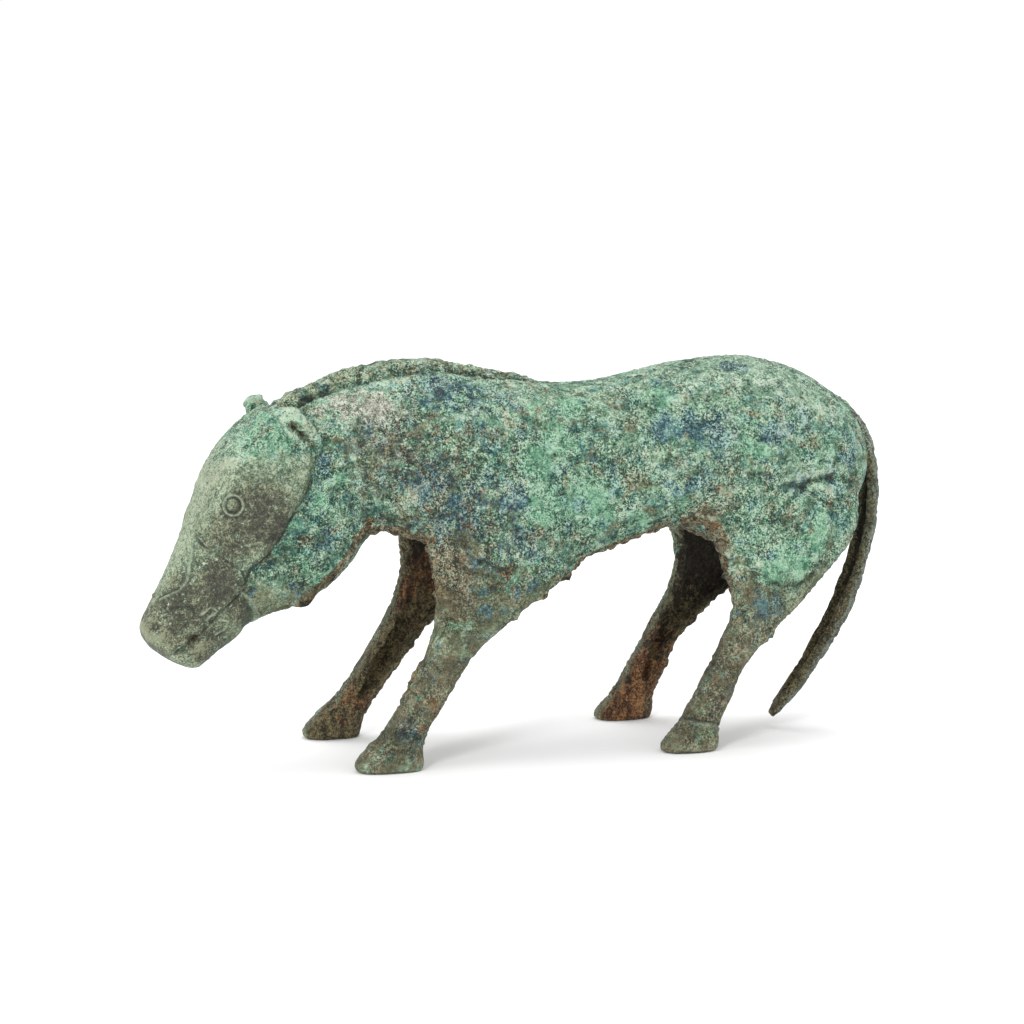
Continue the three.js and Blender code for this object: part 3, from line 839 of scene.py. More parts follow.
def fold(at, facing, side):
    """Points and directions with the far side laid on the near one, and which of them count."""
    flip = np.where(at[:, 1] < 0, -1.0, 1.0)[:, None] * (0, 1, 0) + (1, 0, 1)
    counts = np.ones(len(at), bool) if side == BOTH else at[:, 1] < 0
    return at * flip, facing * flip, counts


def beside(row, at, facing, reach):
    """Which points are near a path, and how far along the skin they are from it."""
    side, path = row[0], np.array(row[3:], float)
    at, facing, counts = fold(at, facing, side)
    box = ((at > path.min(0) - reach) & (at < path.max(0) + reach)).all(axis=1)
    chosen = np.nonzero(counts & box)[0]
    return chosen, along_skin(nearest_on(path, at[chosen]), facing[chosen])


def eye_gap(at, facing):
    """How far along the skin each point is from the middle of the eye on its side."""
    at, facing, _ = fold(at, facing, BOTH)
    return along_skin(at - EYE, facing)


# %% [markdown]
# A line half a millimetre wide needs a mesh finer than that, but only beside the line. So the edges
# near each fine path are split, on the outside only, and the rest of the skin stays as coarse as it
# was. Three rounds with a shorter limit each time keep the triangles even.

# %% Refine the skin beside the lines
FINE_LINE = 0.65
OUTSIDE_REACH = 1.2
EDGE_LIMITS = (0.8, 0.45, 0.34)


def refine(thing, longest):
    """Splits the edges that are longer than longest beside the fine lines and round the eyes."""
    points, facing = read_points(thing.data), read_normals(thing.data)
    near = np.abs(eye_gap(points, facing) - 2.9) < 1.1
    for row in LINES:
        if row[1] < FINE_LINE:
            chosen, gap = beside(row, points, facing, 3)
            near[chosen[gap < 2 * row[1] + 0.2]] = True
    near = np.nonzero(near)[0]
    near = near[distances(outer_tree, points[near]) < OUTSIDE_REACH]
    shape = bmesh.new()
    shape.from_mesh(thing.data)
    shape.verts.ensure_lookup_table()
    edges = {e for i in near for e in shape.verts[i].link_edges}
    edges = [e for e in edges if e.calc_length() > longest]
    edges.sort(key=lambda e: e.index)
    bmesh.ops.subdivide_edges(shape, edges=edges, cuts=1)
    bmesh.ops.triangulate(shape, faces=shape.faces, quad_method="SHORT_EDGE", ngon_method="EAR_CLIP")
    shape.to_mesh(thing.data)
    shape.free()


for longest in EDGE_LIMITS:
    refine(horse, longest)
print("triangles:", len(horse.data.polygons))

# %% [markdown]
# Now each row of the tables lifts or lowers the points near it. A wandering width and a broken depth
# keep the lines from looking drawn by machine. How strongly a line or a crust shows is kept as well,
# because the material colours them later.

# %% Carve the lines
points, normals = read_points(horse.data), read_normals(horse.data)
lift = np.zeros(len(points))
dark_line, pale_line, crusted = (np.zeros(len(points)) for _ in range(3))
outside_skin = distances(outer_tree, points) < OUTSIDE_REACH
for row in LINES:
    chosen, gap = beside(row, points, normals, 4)
    width, height = row[1:3]
    gap = gap + swells(points[chosen], 3, 28) * 0.5 * width
    share = np.exp(-((gap / width) ** 2)) * outside_skin[chosen]
    share *= np.clip(0.9 + 0.8 * swells(points[chosen], 1.8, 21), 0, 1.3)
    lift[chosen] += height * share
    tint = dark_line if height < 0 else pale_line
    # a broad soft fold is coloured less than a fine line
    spare = 0.65 if height < 0 else 0.32
    tint[chosen] = np.maximum(tint[chosen], share * min(1, spare / width))
for row in CRUSTS:
    chosen, gap = beside(row, points, normals, 6)
    width, height = row[1:3]
    ragged = gap + swells(points[chosen], 2.4, 26) * 1.2
    share = fade(ragged, 1.7 * width, 0.5 * width)
    lift[chosen] += height * share * (0.1 + 1.3 * grains(points[chosen], 2.4, 25))
    crusted[chosen] = np.maximum(crusted[chosen], share)
for side, x, y, z, radius, height in SPOTS:
    at, _, counts = fold(points, normals, side)
    gap = np.sqrt(((at - (x, y, z)) ** 2).sum(axis=1))
    share = counts * np.exp(-((gap / radius) ** 2))
    lift += height * share
    tint = dark_line if height < 0 else crusted
    tint[:] = np.maximum(tint, share)
print("points on dark lines:", int((dark_line > 0.3).sum()))

# %% [markdown]
# The eye is a thin raised ring round a low flat disc. Low on the haunch, one green plate stands proud
# with a crisp lower lip. Both are worked out by distance from one place, like the lines.

# %% Eyes and the proud plate
PLATE_X, PLATE_Z, PLATE_HALF_LENGTH, PLATE_HALF_HEIGHT = 74, 60, 11.5, 12.5
gap = eye_gap(points, normals)
ring = np.exp(-(((gap - RING_RADIUS) / RING_WIDTH) ** 2))
beside_ring = np.exp(-(((gap - 2.1) / 0.3) ** 2)) + 0.6 * np.exp(-(((gap - 3.7) / 0.4) ** 2))
lift += (RING_HEIGHT * ring - 0.25 * beside_ring) * (gap < 8)
pale_line = np.maximum(pale_line, ring)
dark_line = np.maximum(dark_line, beside_ring * 0.8)
at, _, counts = fold(points, normals, NEAR)
plate_gap = np.hypot((at[:, 0] - PLATE_X) / PLATE_HALF_LENGTH, (at[:, 2] - PLATE_Z) / PLATE_HALF_HEIGHT)
plate_gap += swells(points, 5, 22) * 0.06 + swells(points, 2, 27) * 0.05
proud = fade(plate_gap, 1.02, 0.95) * fade(at[:, 2], 66, 56) * counts * (at[:, 1] > 18)
lift += proud * (0.6 + 0.35 * swells(points, 2.6, 23))
print("details from", round(float(lift.min()), 2), "to", round(float(lift.max()), 2), "mm")
points += normals * lift[:, None]
low, high = (np.array(corner) / MM - (CENTRE_SHIFT, 0, 0) for corner in cad_box)
write_points(horse.data, np.clip(points, low, high))

# %% [markdown]
# The layers of corrosion are painted as stains, placed by measuring. Each stain is a cone, highest
# in its middle, and the material sets that height against noise, which gives it a ragged edge. Most
# kinds are named for the mineral or the colour that they bring. A dull stain darkens the tone, a worn
# one bares the metal, and a mixed one thickens the scattered colours. The chalk kind is pale crust
# and painted top light on the forehead and the rump, and the stain kind is dark stains and painted
# shade low on the muzzle. Of the two deep kinds, deep rust is soil inside the hollow and the legs,
# and deep shade is painted shade deep inside them.

# %% Stains
# x, distance from the middle, height, radius, strength
STAINS = {
    "azurite": (
        (-61, 16, 86, 3.2, 0.9), (-65, 16, 80, 2.5, 0.6), (-60, 15, 65, 6, 0.6), (-54, 12, 60, 5, 0.5),
        (-67, 10, 50, 5, 0.45), (-45, 16, 95, 8, 0.45), (-44, 7, 107, 3, 0.6), (-34, 10, 107, 6, 0.55),
        (-25, 11, 106, 8, 0.7), (-17, 14, 104, 8, 0.6), (-9, 14, 102, 6, 0.5), (-40, 20, 84, 8, 0.5),
        (-32, 22, 81, 8, 0.6), (-21, 24, 75, 8, 0.6), (-26, 23, 70, 7, 0.6), (-7, 25, 75, 4, 1),
        (-12, 25, 78, 6, 0.5), (-8, 23, 88, 6, 0.4), (-14, 21, 92, 5, 0.5), (-3, 25, 62, 7, 0.6),
        (6, 25, 68, 8, 0.3), (5, 23, 83, 4, 0.5), (11, 20, 94, 6, 0.3), (12, 24, 73, 3, 0.7),
        (18, 23, 82, 5, 0.4), (24, 24, 82, 3, 0.6), (22, 24, 76, 4, 0.5), (39, 21, 95, 4, 0.9),
        (37, 22, 92, 4, 0.8), (46, 22, 94, 5, 0.8), (53, 24, 91, 6, 0.9), (65, 10, 109, 3.5, 0.9),
        (52, 6, 109, 3, 0.5), (71, 25, 91, 5, 0.8), (76, 25, 91, 4, 0.7), (82, 23, 94, 4, 0.7),
        (96, 22, 83, 4, 0.9), (98, 20, 88, 3, 0.6), (54, 26, 87, 6, 0.5), (50, 26, 81, 5, 0.5),
        (41, 25, 77, 2.6, 0.9), (46, 26, 77, 2.6, 0.9), (89, 26, 76, 4, 0.7), (78, 28, 76, 4, 0.6),
        (61, 26, 61, 2, 0.8), (68, 28, 56, 2, 0.7), (78, 28, 57, 2, 0.7), (69, 28, 40, 6, 0.6),
        (-19, 26, 48, 2.4, 1), (-34, 28, 26, 2.4, 0.8), (-40, 30, 11, 5, 0.8), (-22, 26, 47, 7, 0.4),
        (-12, 26, 58, 7, 0.5), (48, 26, 17, 4, 0.5), (51, 30, 14, 3, 0.6), (60, 28, 31, 6, 0.4),
        (54, 28, 23, 5, 0.4), (41, 30, 5, 4, 0.5), (28, 7, 104, 5, 0.3), (13, 4, 105, 5, 0.3),
    ),
    "malachite": (
        (-3, 23, 86, 5, 0.9), (2, 23, 84, 4, 0.8), (7, 21, 90, 6, 0.8), (0, 25, 74, 7, 0.9),
        (6, 25, 72, 6, 0.6), (15, 24, 75, 7, 0.7), (19, 24, 70, 6, 0.6), (11, 24, 79, 6, 0.5),
        (-18, 24, 81, 5, 0.35), (40, 23, 90, 5, 0.5), (49, 24, 89, 6, 0.5), (65, 26, 86, 4, 0.9),
        (61, 26, 89, 7, 0.5), (84, 28, 64, 3.2, 1), (84, 28, 59, 3.4, 1), (74, 28, 54, 6.5, 1),
        (70, 28, 52, 5, 1), (78, 28, 53, 5, 0.8), (64, 27, 67, 6, 0.5), (84, 26, 85, 8, 0.4),
        (60, 26, 63, 5, 0.5), (13, 16, 99, 4.5, 1), (40, 16, 102, 7, 0.5), (-63, 16, 76, 4, 0.6),
        (-58, 17, 82, 5, 0.5), (-55, 17, 84, 4, 0.4), (-81, 10, 93, 9, 0.6), (-73, 14, 96, 6, 0.7),
        (-76, 6, 100, 5, 0.6), (-73, 17, 87, 6, 0.5), (-61, 11, 54, 6, 0.6), (-66, 14, 59, 5, 0.5),
        (31, 22, 67, 8, 0.4), (-24, 23, 81, 5, 0.3), (-13, 26, 51, 6, 0.3), (-30, 26, 36, 7, 0.35),
    ),
    # pale chalk crust, and painted top light on the forehead and the top of the rump
    "chalk and top light": (
        (64, 10, 109, 12, 0.9), (77, 15, 105, 12, 0.9), (90, 17, 98, 8, 0.8), (50, 12, 106, 10, 0.7),
        (34, 16, 101, 9, 0.4), (78, 28, 80, 9, 0.6), (34, 24, 85, 8, 0.6), (42, 24, 86, 6, 0.5),
        (-86, 8, 91, 10, 0.9), (-92, 7, 82, 6, 0.8), (-67, 7, 101, 4, 0.7), (-52, 11, 102, 9, 0.9),
        (-43, 13, 102, 6, 1), (-47, 13, 100, 5, 0.8), (-37, 10, 106, 2, 0.6), (-4, 14, 102, 2.4, 1),
        (-9, 20, 94, 2, 0.7), (-72, 16, 101, 3, 0.5),
    ),
    "earth": (
        (-28, 23, 55, 8, 1), (-26, 25, 47, 8, 0.9), (-10, 25, 50, 8, 0.5), (-30, 22, 60, 4, 1),
        (-29, 13, 61, 4, 0.8), (40, 24, 86, 5, 0.5), (54, 27, 75, 4, 0.7), (62, 25, 46, 6, 0.6),
        (57, 23, 59, 5, 0.9), (50, 24, 68, 5, 1), (17, 18, 96, 5, 0.3), (28, 14, 101, 6, 0.3),
        (-55, 14, 96, 8, 0.3), (-39, 17, 97, 7, 0.3), (-98, 6, 64, 6, 0.4), (-88, 14, 66, 6, 0.4),
        (1, 25, 63, 5, 0.6), (-22, 20, 29, 7, 0.5), (-38, 20, 88, 10, 0.45), (-48, 17, 84, 6, 0.35),
        (-39, 24, 22, 9, 0.6), (-48, 29, 9, 8, 0.6), (43, 32, 4, 6, 0.5),
    ),
    "rust": (
        (-40, 16, 97, 2, 0.7), (-20, 20, 95, 2.2, 1), (-32, 6, 109, 2, 0.8), (-31, 22, 84, 3, 0.5),
        (-23, 24, 67, 4, 0.5), (-9, 26, 55, 3, 0.8), (53, 23, 66, 2.5, 1), (-34, 29, 19, 2.6, 1),
        (-38, 30, 12, 1.8, 1), (-35, 29, 14, 3, 0.6), (-111, 0, 39, 1.6, 1), (-66, 4, 46, 3, 1),
        (-31, 19, 65, 2.5, 0.8), (-48, 13, 68, 2, 0.9), (84, 24, 90, 2, 0.5), (67, 22, 99, 2, 0.5),
        (-32, 27, 16, 3, 0.7),
    ),
    # dark stains, and painted shade low on the muzzle
    "stain": (
        (-90, 11, 53, 5, 1), (-78, 16, 70, 7, 0.8), (-82, 16, 76, 4, 0.5), (-83, 15, 66, 6, 0.5),
        (-94, 9, 37, 5, 0.4), (-58, 5, 50, 4, 0.4), (74, 28, 49, 5, 0.6), (64, 27, 51, 3, 0.5),
    ),
    "dull": (
        (-68, 12, 62, 14, 0.9), (-60, 16, 78, 12, 0.7), (-38, 20, 84, 15, 0.7), (-22, 25, 72, 17, 0.9),
        (-20, 26, 52, 16, 0.8), (-4, 25, 56, 12, 0.6), (-30, 27, 34, 14, 0.9), (-44, 29, 12, 14, 1),
        (66, 28, 36, 14, 0.45), (56, 29, 20, 14, 1), (44, 30, 6, 12, 1), (-22, 12, 104, 8, 0.5),
        (76, 26, 46, 12, 0.4), (98, 18, 72, 9, 0.7), (40, 24, 64, 10, 0.5), (12, 22, 60, 10, 0.5),
    ),
    "olive": (
        (-44, 18, 90, 14, 0.7), (-30, 23, 76, 15, 0.7), (-24, 26, 54, 16, 0.9), (-8, 26, 60, 10, 0.6),
        (-32, 27, 34, 14, 0.9), (-42, 29, 14, 14, 0.9), (64, 28, 38, 12, 0.8), (56, 29, 22, 12, 0.6),
        (44, 31, 6, 10, 0.8), (54, 26, 72, 7, 0.6), (24, 14, 102, 9, 0.6), (34, 24, 84, 8, 0.6),
        (76, 27, 68, 9, 0.5), (-95, 8, 82, 9, 0.5), (60, 25, 50, 8, 0.7),
    ),
    "worn": (
        (-80, 16, 73, 9, 1), (-88, 14, 66, 8, 0.95), (-76, 15, 66, 6, 0.7), (-91, 11, 54, 7, 0.9),
        (-98, 8, 48, 9, 0.85), (-106, 6, 41, 9, 0.85), (-95, 9, 36, 8, 0.75), (-84, 12, 47, 6, 0.8),
        (-84, 16, 80, 6, 0.5),
    ),
    "mixed": (
        (-42, 18, 88, 14, 1), (-31, 22, 77, 14, 1), (-20, 24, 72, 12, 0.9), (-25, 25, 58, 12, 0.7),
        (-10, 24, 62, 10, 0.6), (-30, 12, 104, 9, 0.5), (-8, 20, 94, 9, 0.5), (50, 24, 82, 8, 0.4),
        (57, 29, 22, 10, 0.8), (64, 28, 38, 9, 0.6), (-14, 25, 47, 9, 0.5), (-36, 27, 26, 8, 0.5),
    ),
    "cream": (
        (-53, 11, 102, 6, 0.8), (-46, 13, 101, 6, 1), (-42, 14, 98, 5, 0.7), (-60, 10, 101, 5, 0.5),
        (-92, 7, 84, 7, 0.7), (-86, 8, 92, 6, 0.5), (-98, 6, 66, 6, 0.5),
    ),
    "deep rust": (
        (-14, 18, 52, 14, 0.9), (-24, 18, 42, 9, 0.8), (-33, 20, 26, 7, 0.35), (-42, 22, 11, 7, 0.5),
        (47, 22, 14, 9, 1), (43, 22, 5, 9, 1), (54, 20, 25, 8, 0.8), (60, 19, 33, 6, 0.5),
    ),
    "painted deep shade": (
        (68, 20, 62, 26, 1), (72, 20, 50, 14, 1), (66, 18, 42, 9, 0.7), (-8, 18, 72, 24, 1),
        (-8, 18, 62, 10, 0.6), (98, 0, 60, 30, 0.8), (-60, 0, 70, 40, 1), (30, 0, 80, 60, 1),
    ),
}
print("stains:", sum(len(spots) for spots in STAINS.values()))

# %% [markdown]
# Each point of the skin gets one number for every kind of stain. The points are first shifted a little
# by soft noise, so that no stain is a round spot.

# %% Heights of the stains
horse.data.polygons.foreach_set("use_smooth", np.ones(len(horse.data.polygons), bool))
points, facing = read_points(horse.data), read_normals(horse.data)
wander = np.stack([swells(points, 6, 31 + k) * 1.8 for k in range(3)], axis=1)
at = points + wander
at[:, 1] = np.abs(at[:, 1])
stains = {}
for name, spots in STAINS.items():
    total = np.zeros(len(points))
    for x, y, z, radius, strength in spots:
        gap = np.sqrt(((at - (x, y, z)) ** 2).sum(axis=1)) / radius
        total = np.maximum(total, strength * np.clip(1.35 - gap * 0.85, 0, 1))
    stains[name] = total
print({name: int((values > 0.3).sum()) for name, values in stains.items()})

# %% [markdown]
# Some layers follow the shape: pale chalk and painted top light go on what faces up, soil fills the hollow
# and the inner side of the legs, and the face was rubbed bare. Painted shade darkens the valleys of the
# skin and what faces down on the face, and painted light lifts the crests and the front of the face. So a
# few more numbers say how far inside a point is, how near to a rim, how hollow the skin is there, and
# whether it is on the face or on the tail. The material reads them by name.

# %% Layers that follow the shape


def paint(name, values):
    """Stores values from 0 to 1 on the skin's points, for the material to read by name."""
    layer = horse.data.attributes.new(name, "FLOAT", "POINT")
    layer.data.foreach_set("value", np.clip(values, 0, 1).astype(np.float32))


def strengthen(name, values):
    """Raises a kind of stain to these values wherever it is below them."""
    stains[name] = np.maximum(stains[name], values)


rim_gap = to_rim(points)
within = fade(distances(outer_tree, points), 0.9, 1.7)
leg_here = fade(points[:, 2], 64, 50) * (np.abs(points[:, 1]) > 10)
inner_side = leg_here * fade(-facing[:, 1] * np.sign(points[:, 1]), 0.05, 0.5) * (1 - within)
inner_side *= fade(points[:, 0], -58, -54)
within = np.maximum(within, inner_side)
# the tail alone, without the rump on both sides of its root
tail_here = on_tail(points) * (1 - fade(np.abs(points[:, 1]), 4.4, 5.4) * fade(points[:, 2], 70, 76))
crusted = np.maximum(crusted, fade(rim_gap, 5.5, 0.8) * (1 - 0.35 * leg_here)) * (1 - 0.7 * tail_here)
# the face: bare below the crown; pale along its bridge from wear and on what faces forward from painted
# front light; and painted shade on what faces down, under the jaw
face = fade(behind_face_edge(points), 1.5, -1)
bare = face * (0.15 + 0.85 * fade(points[:, 2], 98, 74))
bridge_wear_and_front_light = np.maximum(fade(np.abs(points[:, 1]), 8.5, 4), fade(-facing[:, 0], 0.35, 0.85))
bridge_wear_and_front_light *= face * fade(points[:, 2], 50, 68)
painted_under_shade = face * fade(-facing[:, 2], 0.1, 0.8)
stains["worn"] *= face
# pale chalk and painted top light on whatever faces up, olive on the mane and the legs, earth on the lower
# legs
on_mane = fade(np.abs(points[:, 1]), 5.4, 4.2) * fade(points[:, 2], 98, 100) * fade(points[:, 0], 9, 5)
strengthen("chalk and top light", 0.5 * fade(facing[:, 2], 0.2, 0.95) * fade(points[:, 2], 60, 90))
strengthen("dull", on_mane * 0.35)
strengthen("olive", on_mane * 0.75)
strengthen("olive", fade(points[:, 2], 64, 44) * 0.95)
strengthen("earth", fade(points[:, 2], 56, 26) * 0.68)
stains["deep rust"] *= within
# painted shade deep inside the hollow and the legs, kept to the inside
stains["painted deep shade"] *= within
mean = neighbours(horse.data)
# painted shade in the valleys of the skin and painted light on its crests: how hollow each point is
valley_shade_crest_light = np.einsum("ij,ij->i", mean(points) - points, facing)
layers = {
    **stains,
    "fine": fade(points[:, 2], 58, 44),
    "bare": bare * (1 - within),
    "bridge_wear_and_front_light": bridge_wear_and_front_light,
    "painted_under_shade": painted_under_shade,
    "within": within,
    "tail": tail_here,
    "tail back": tail_here * fade(facing[:, 0], -0.4, 0.3),
    "crusted": crusted,
    "dark line": dark_line,
    "pale line": pale_line,
    "valley_shade_crest_light": 0.5 + mean(valley_shade_crest_light) * 3,
}
for name, values in layers.items():
    paint(name, values)
print("numbers on each point:", len(layers))

# %% [markdown]
# A material is written here as sums. The class below wraps a socket, so that `1 - mask` or
# `mask * 0.5` adds the Math node that does it, and one method adds any other kind of node.

# %% Sums with sockets


class Wire:
    """The output of a shader node."""

    nodes = links = None

    def __init__(self, socket):
        self.socket = socket

    @classmethod
    def start(cls, material):
        material.use_nodes = True
        cls.nodes, cls.links = material.node_tree.nodes, material.node_tree.links
        cls.nodes.clear()

    @classmethod
    def node(cls, kind, settings=None, sockets=None, output=0):
        """Adds a node: first its settings, then the values or links of its sockets."""
        made = cls.nodes.new("ShaderNode" + kind)
        for name, value in (settings or {}).items():
            setattr(made, name, value)
        for name, value in (sockets or {}).items():
            if isinstance(value, Wire):
                cls.links.new(value.socket, made.inputs[name])
            else:
                made.inputs[name].default_value = value
        return cls(made.outputs[output]) if made.outputs else made

    def maths(self, operation, other, turned=False):
        pair = (other, self) if turned else (self, other)
        return Wire.node("Math", {"operation": operation}, dict(enumerate(pair)))

    def __add__(self, other):
        return self.maths("ADD", other)

    def __sub__(self, other):
        return self.maths("SUBTRACT", other)

    def __rsub__(self, other):
        return self.maths("SUBTRACT", other, turned=True)

    def __mul__(self, other):
        return self.maths("MULTIPLY", other)

    __radd__, __rmul__ = __add__, __mul__

    def most(self, other):
        return self.maths("MAXIMUM", other)

    def step(self, low, high):
        """0 below low, 1 above high, and a soft step between."""
        sockets = {"Value": self, "From Min": low, "From Max": high}
        return Wire.node("MapRange", {"interpolation_type": "SMOOTHSTEP"}, sockets)


# The lamps and the white surround together make a side look this much brighter than its colour.
LIGHT_ON_SIDES = 1.37


def colour(red, green, blue):
    """The colour that looks like these 0 to 255 screen values in the studio's light."""
    screen = np.array((red, green, blue)) / 255
    linear = np.where(screen < 0.04, screen / 12.92, ((screen + 0.055) / 1.055) ** 2.4)
    return (*(linear / LIGHT_ON_SIDES).tolist(), 1)


def blend(factor, below, above):
    sockets = {0: factor, 6: below, 7: above}
    return Wire.node("Mix", {"data_type": "RGBA"}, sockets, output=2)


def ramp(value, *stops):
    """A colour ramp through stops of a place and three screen values."""
    made = Wire.node("ValToRGB", sockets={0: value})
    band = made.socket.node.color_ramp
    for _ in stops[2:]:
        band.elements.new(0.5)
    for element, (place, *screen) in zip(band.elements, stops):
        element.position = place
    for element, (place, *screen) in zip(band.elements, stops):
        element.color = colour(*screen)
    return made


def mask(name):
    return Wire.node("Attribute", {"attribute_name": name}, output=2)


# %% [markdown]
# Bronze patina is a crust of crystals. Up close each grain has its own tone: pale malachite, dark
# copper oxide between, blue azurite here and there. So a cell texture gives every crystal one random
# tone, and its place is nudged by noise to break the straight cell walls. Noise adds specks, grit and
# blotches. The pale tips join into fine winding ridges, so one layer of noise is read as contour lines.

# %% The patina's grain
bronze = bpy.data.materials.new("corroded bronze")
Wire.start(bronze)
place = Wire.node("TexCoord", output=3)
place = Wire.node("VectorMath", {"operation": "SCALE"}, {0: place, "Scale": 1 / MM})
drift = Wire.node("TexNoise", sockets={"Vector": place, "Scale": 0.6, "Detail": 1.0}, output=1)
warped = Wire.node("VectorMath", {"operation": "MULTIPLY_ADD"}, {0: drift, 1: (2.2, 2.2, 2.2), 2: place})


def noise(size, detail=2.0, shift=0.0, roughness=0.55, at=place):
    """Noise whose features are about size mm wide, from 0 to 1."""
    moved = Wire.node("VectorMath", {"operation": "ADD"}, {0: at, 1: (shift, shift, shift)})
    sockets = {"Vector": moved, "Scale": 1 / size, "Detail": detail, "Roughness": roughness}
    return Wire.node("TexNoise", sockets=sockets)


def contour(value, width):
    """1 along the lines where the noise is at its middle value."""
    return (value - 0.5).maths("ABSOLUTE", 0).step(width, 0)


edges = noise(4.5, 6, 5, 0.74, warped)
fine_edges = noise(1.5, 4, 9, 0.65, warped)


def spread(strength, hardness=0.07):
    """A stain's cone turned into a patch with a ragged edge."""
    height = strength + (edges - 0.5) * 1.5 + (fine_edges - 0.5) * 1.5 - 0.5
    return height.step(-hardness, hardness)


def crystals(size, at):
    """Cells about size mm wide, and three random values from 0 to 1 that each cell has."""
    cell = Wire.node("TexVoronoi", sockets={"Vector": at, "Scale": 1 / size}, output=1)
    split = Wire.node("SeparateXYZ", sockets={0: cell}).socket.node
    return [Wire(output) for output in split.outputs]


nudge = Wire.node("TexNoise", sockets={"Vector": place, "Scale": 0.9, "Detail": 4.0}, output=1)
ragged = Wire.node("VectorMath", {"operation": "MULTIPLY_ADD"}, {0: nudge, 1: (2.6, 2.6, 2.6), 2: place})
small_tone, small_tint, small_fleck = crystals(0.55, ragged)
large_tone = crystals(1.7, ragged)[0]
speck = noise(0.45, 2).step(0.42, 0.58)
grit = noise(0.95, 3, 3).step(0.4, 0.6)
lace = contour(noise(2.3, 3, 17, 0.55, warped), 0.035)
crack = contour(noise(1.8, 3, 29, 0.6, warped), 0.04) * noise(4, 3, 37, 0.6).step(0.45, 0.58)
pit = noise(1.2, 3, 23, 0.6, warped).step(0.4, 0.33) * (0.4 + 0.6 * mask("dull"))
blotch = noise(3.4, 4, 7, 0.65, warped).step(0.36, 0.64)
zone = noise(13, 3, 13).step(0.35, 0.65)
rugged = noise(6, 4, 43, 0.65, warped).step(0.38, 0.6)
valley_shade_crest_light = mask("valley_shade_crest_light")
fine = mask("fine")
detail = speck * 0.5 + grit * 0.3 + small_tone * 0.24 + large_tone * 0.16 - 0.6
mottle = (blotch - 0.5) * (0.2 - fine * 0.1) + (zone - 0.5) * 0.12 - mask("dull") * 0.12
# the tone takes painted shade in the valleys of the skin and painted light on its crests
tone = detail * (0.42 + rugged * 0.75) * (1 - fine * 0.38) + mottle + (0.5 - valley_shade_crest_light) * (0.9 - fine * 0.4) + 0.5

# %% [markdown]
# Every layer is one ramp over the same tone, from the dark between the grains to the pale tips, so
# that the grain runs on unbroken from one layer to the next. The stops are written as screen values,
# which are easy to judge, and the helper above turns them into the studio's light.

# %% The patina's colours
crust = ramp(tone, (0.1, 34, 56, 48), (0.32, 70, 102, 80), (0.5, 108, 148, 118),
             (0.68, 152, 194, 158), (0.9, 212, 236, 206))
olive = ramp(tone, (0.1, 42, 42, 28), (0.35, 90, 92, 64), (0.55, 125, 128, 96),
             (0.75, 162, 164, 128), (0.95, 200, 202, 170))
buff = ramp(tone, (0.1, 50, 42, 30), (0.35, 92, 82, 58), (0.55, 130, 120, 92), (0.8, 182, 174, 144))
green = ramp(tone + 0.06, (0.1, 62, 112, 88), (0.38, 104, 164, 130), (0.6, 144, 202, 162),
             (0.85, 192, 230, 200))
blue = ramp(tone, (0.1, 24, 42, 50), (0.36, 54, 88, 98), (0.6, 98, 146, 154), (0.85, 162, 204, 204))
pale = ramp(tone, (0.1, 80, 114, 92), (0.4, 142, 180, 150), (0.65, 188, 218, 190), (0.9, 232, 242, 222))
cream = ramp(tone, (0.1, 92, 92, 76), (0.4, 156, 156, 138), (0.65, 206, 204, 186), (0.9, 240, 238, 224))
teal = ramp(tone, (0.1, 18, 52, 54), (0.34, 46, 98, 92), (0.6, 90, 156, 142), (0.9, 172, 222, 208))
slate = ramp(tone, (0.1, 34, 42, 40), (0.4, 72, 84, 78), (0.65, 112, 126, 118), (0.9, 168, 182, 170))
# the worn metal of the face shows the same grain more faintly, paler along its bridge from wear and painted
# front light, with painted shade in its valleys and on what faces down
faint = blotch * 0.2 + zone * 0.1 + speck * 0.3 + grit * 0.16 + small_tone * 0.2 + mask("bridge_wear_and_front_light") * 0.22
faint = faint + (0.5 - valley_shade_crest_light) * 1.2 - mask("painted_under_shade") * 0.25 - 0.02
face_tone = ramp(faint, (0.1, 50, 66, 50), (0.35, 84, 102, 80), (0.6, 126, 142, 112), (0.9, 190, 200, 168))
skin_tone = ramp(faint, (0.1, 34, 32, 21), (0.35, 55, 55, 38), (0.6, 82, 83, 60), (0.85, 142, 148, 116))
dark_stain_and_shade = ramp(faint, (0.1, 30, 28, 22), (0.5, 58, 56, 44), (0.9, 98, 98, 80))
# the soil runs in upright streaks
streaks = Wire.node("VectorMath", {"operation": "MULTIPLY"}, {0: warped, 1: (1, 1, 0.3)})
soil_tone = noise(2.2, 4, 41, 0.65, streaks) + speck * 0.22 + grit * 0.18 - 0.2
soil = ramp(soil_tone, (0.26, 34, 27, 13), (0.42, 77, 67, 41), (0.55, 110, 100, 68), (0.72, 150, 136, 98))
rusty = ramp(soil_tone, (0.26, 46, 26, 13), (0.42, 92, 58, 30), (0.56, 138, 92, 54), (0.72, 184, 134, 86))
# painted shade for deep inside the hollow
deep_shade_colour = ramp(soil_tone, (0.3, 18, 14, 8), (0.5, 44, 38, 25), (0.7, 72, 64, 46))
crack_colour, groove_colour, ridge_colour = colour(34, 56, 56), colour(38, 50, 44), colour(176, 190, 164)
print("layers:", len([node for node in bronze.node_tree.nodes if node.type == "VALTORGB"]))

# %% [markdown]
# The grey-green crust lies lowest. Ragged patches of the other layers go over it one by one: some are
# scattered everywhere, some only where a stain was painted. Threads, cracks and carved lines follow,
# and the soil of the hollow, with painted shade deep inside, goes over them all.

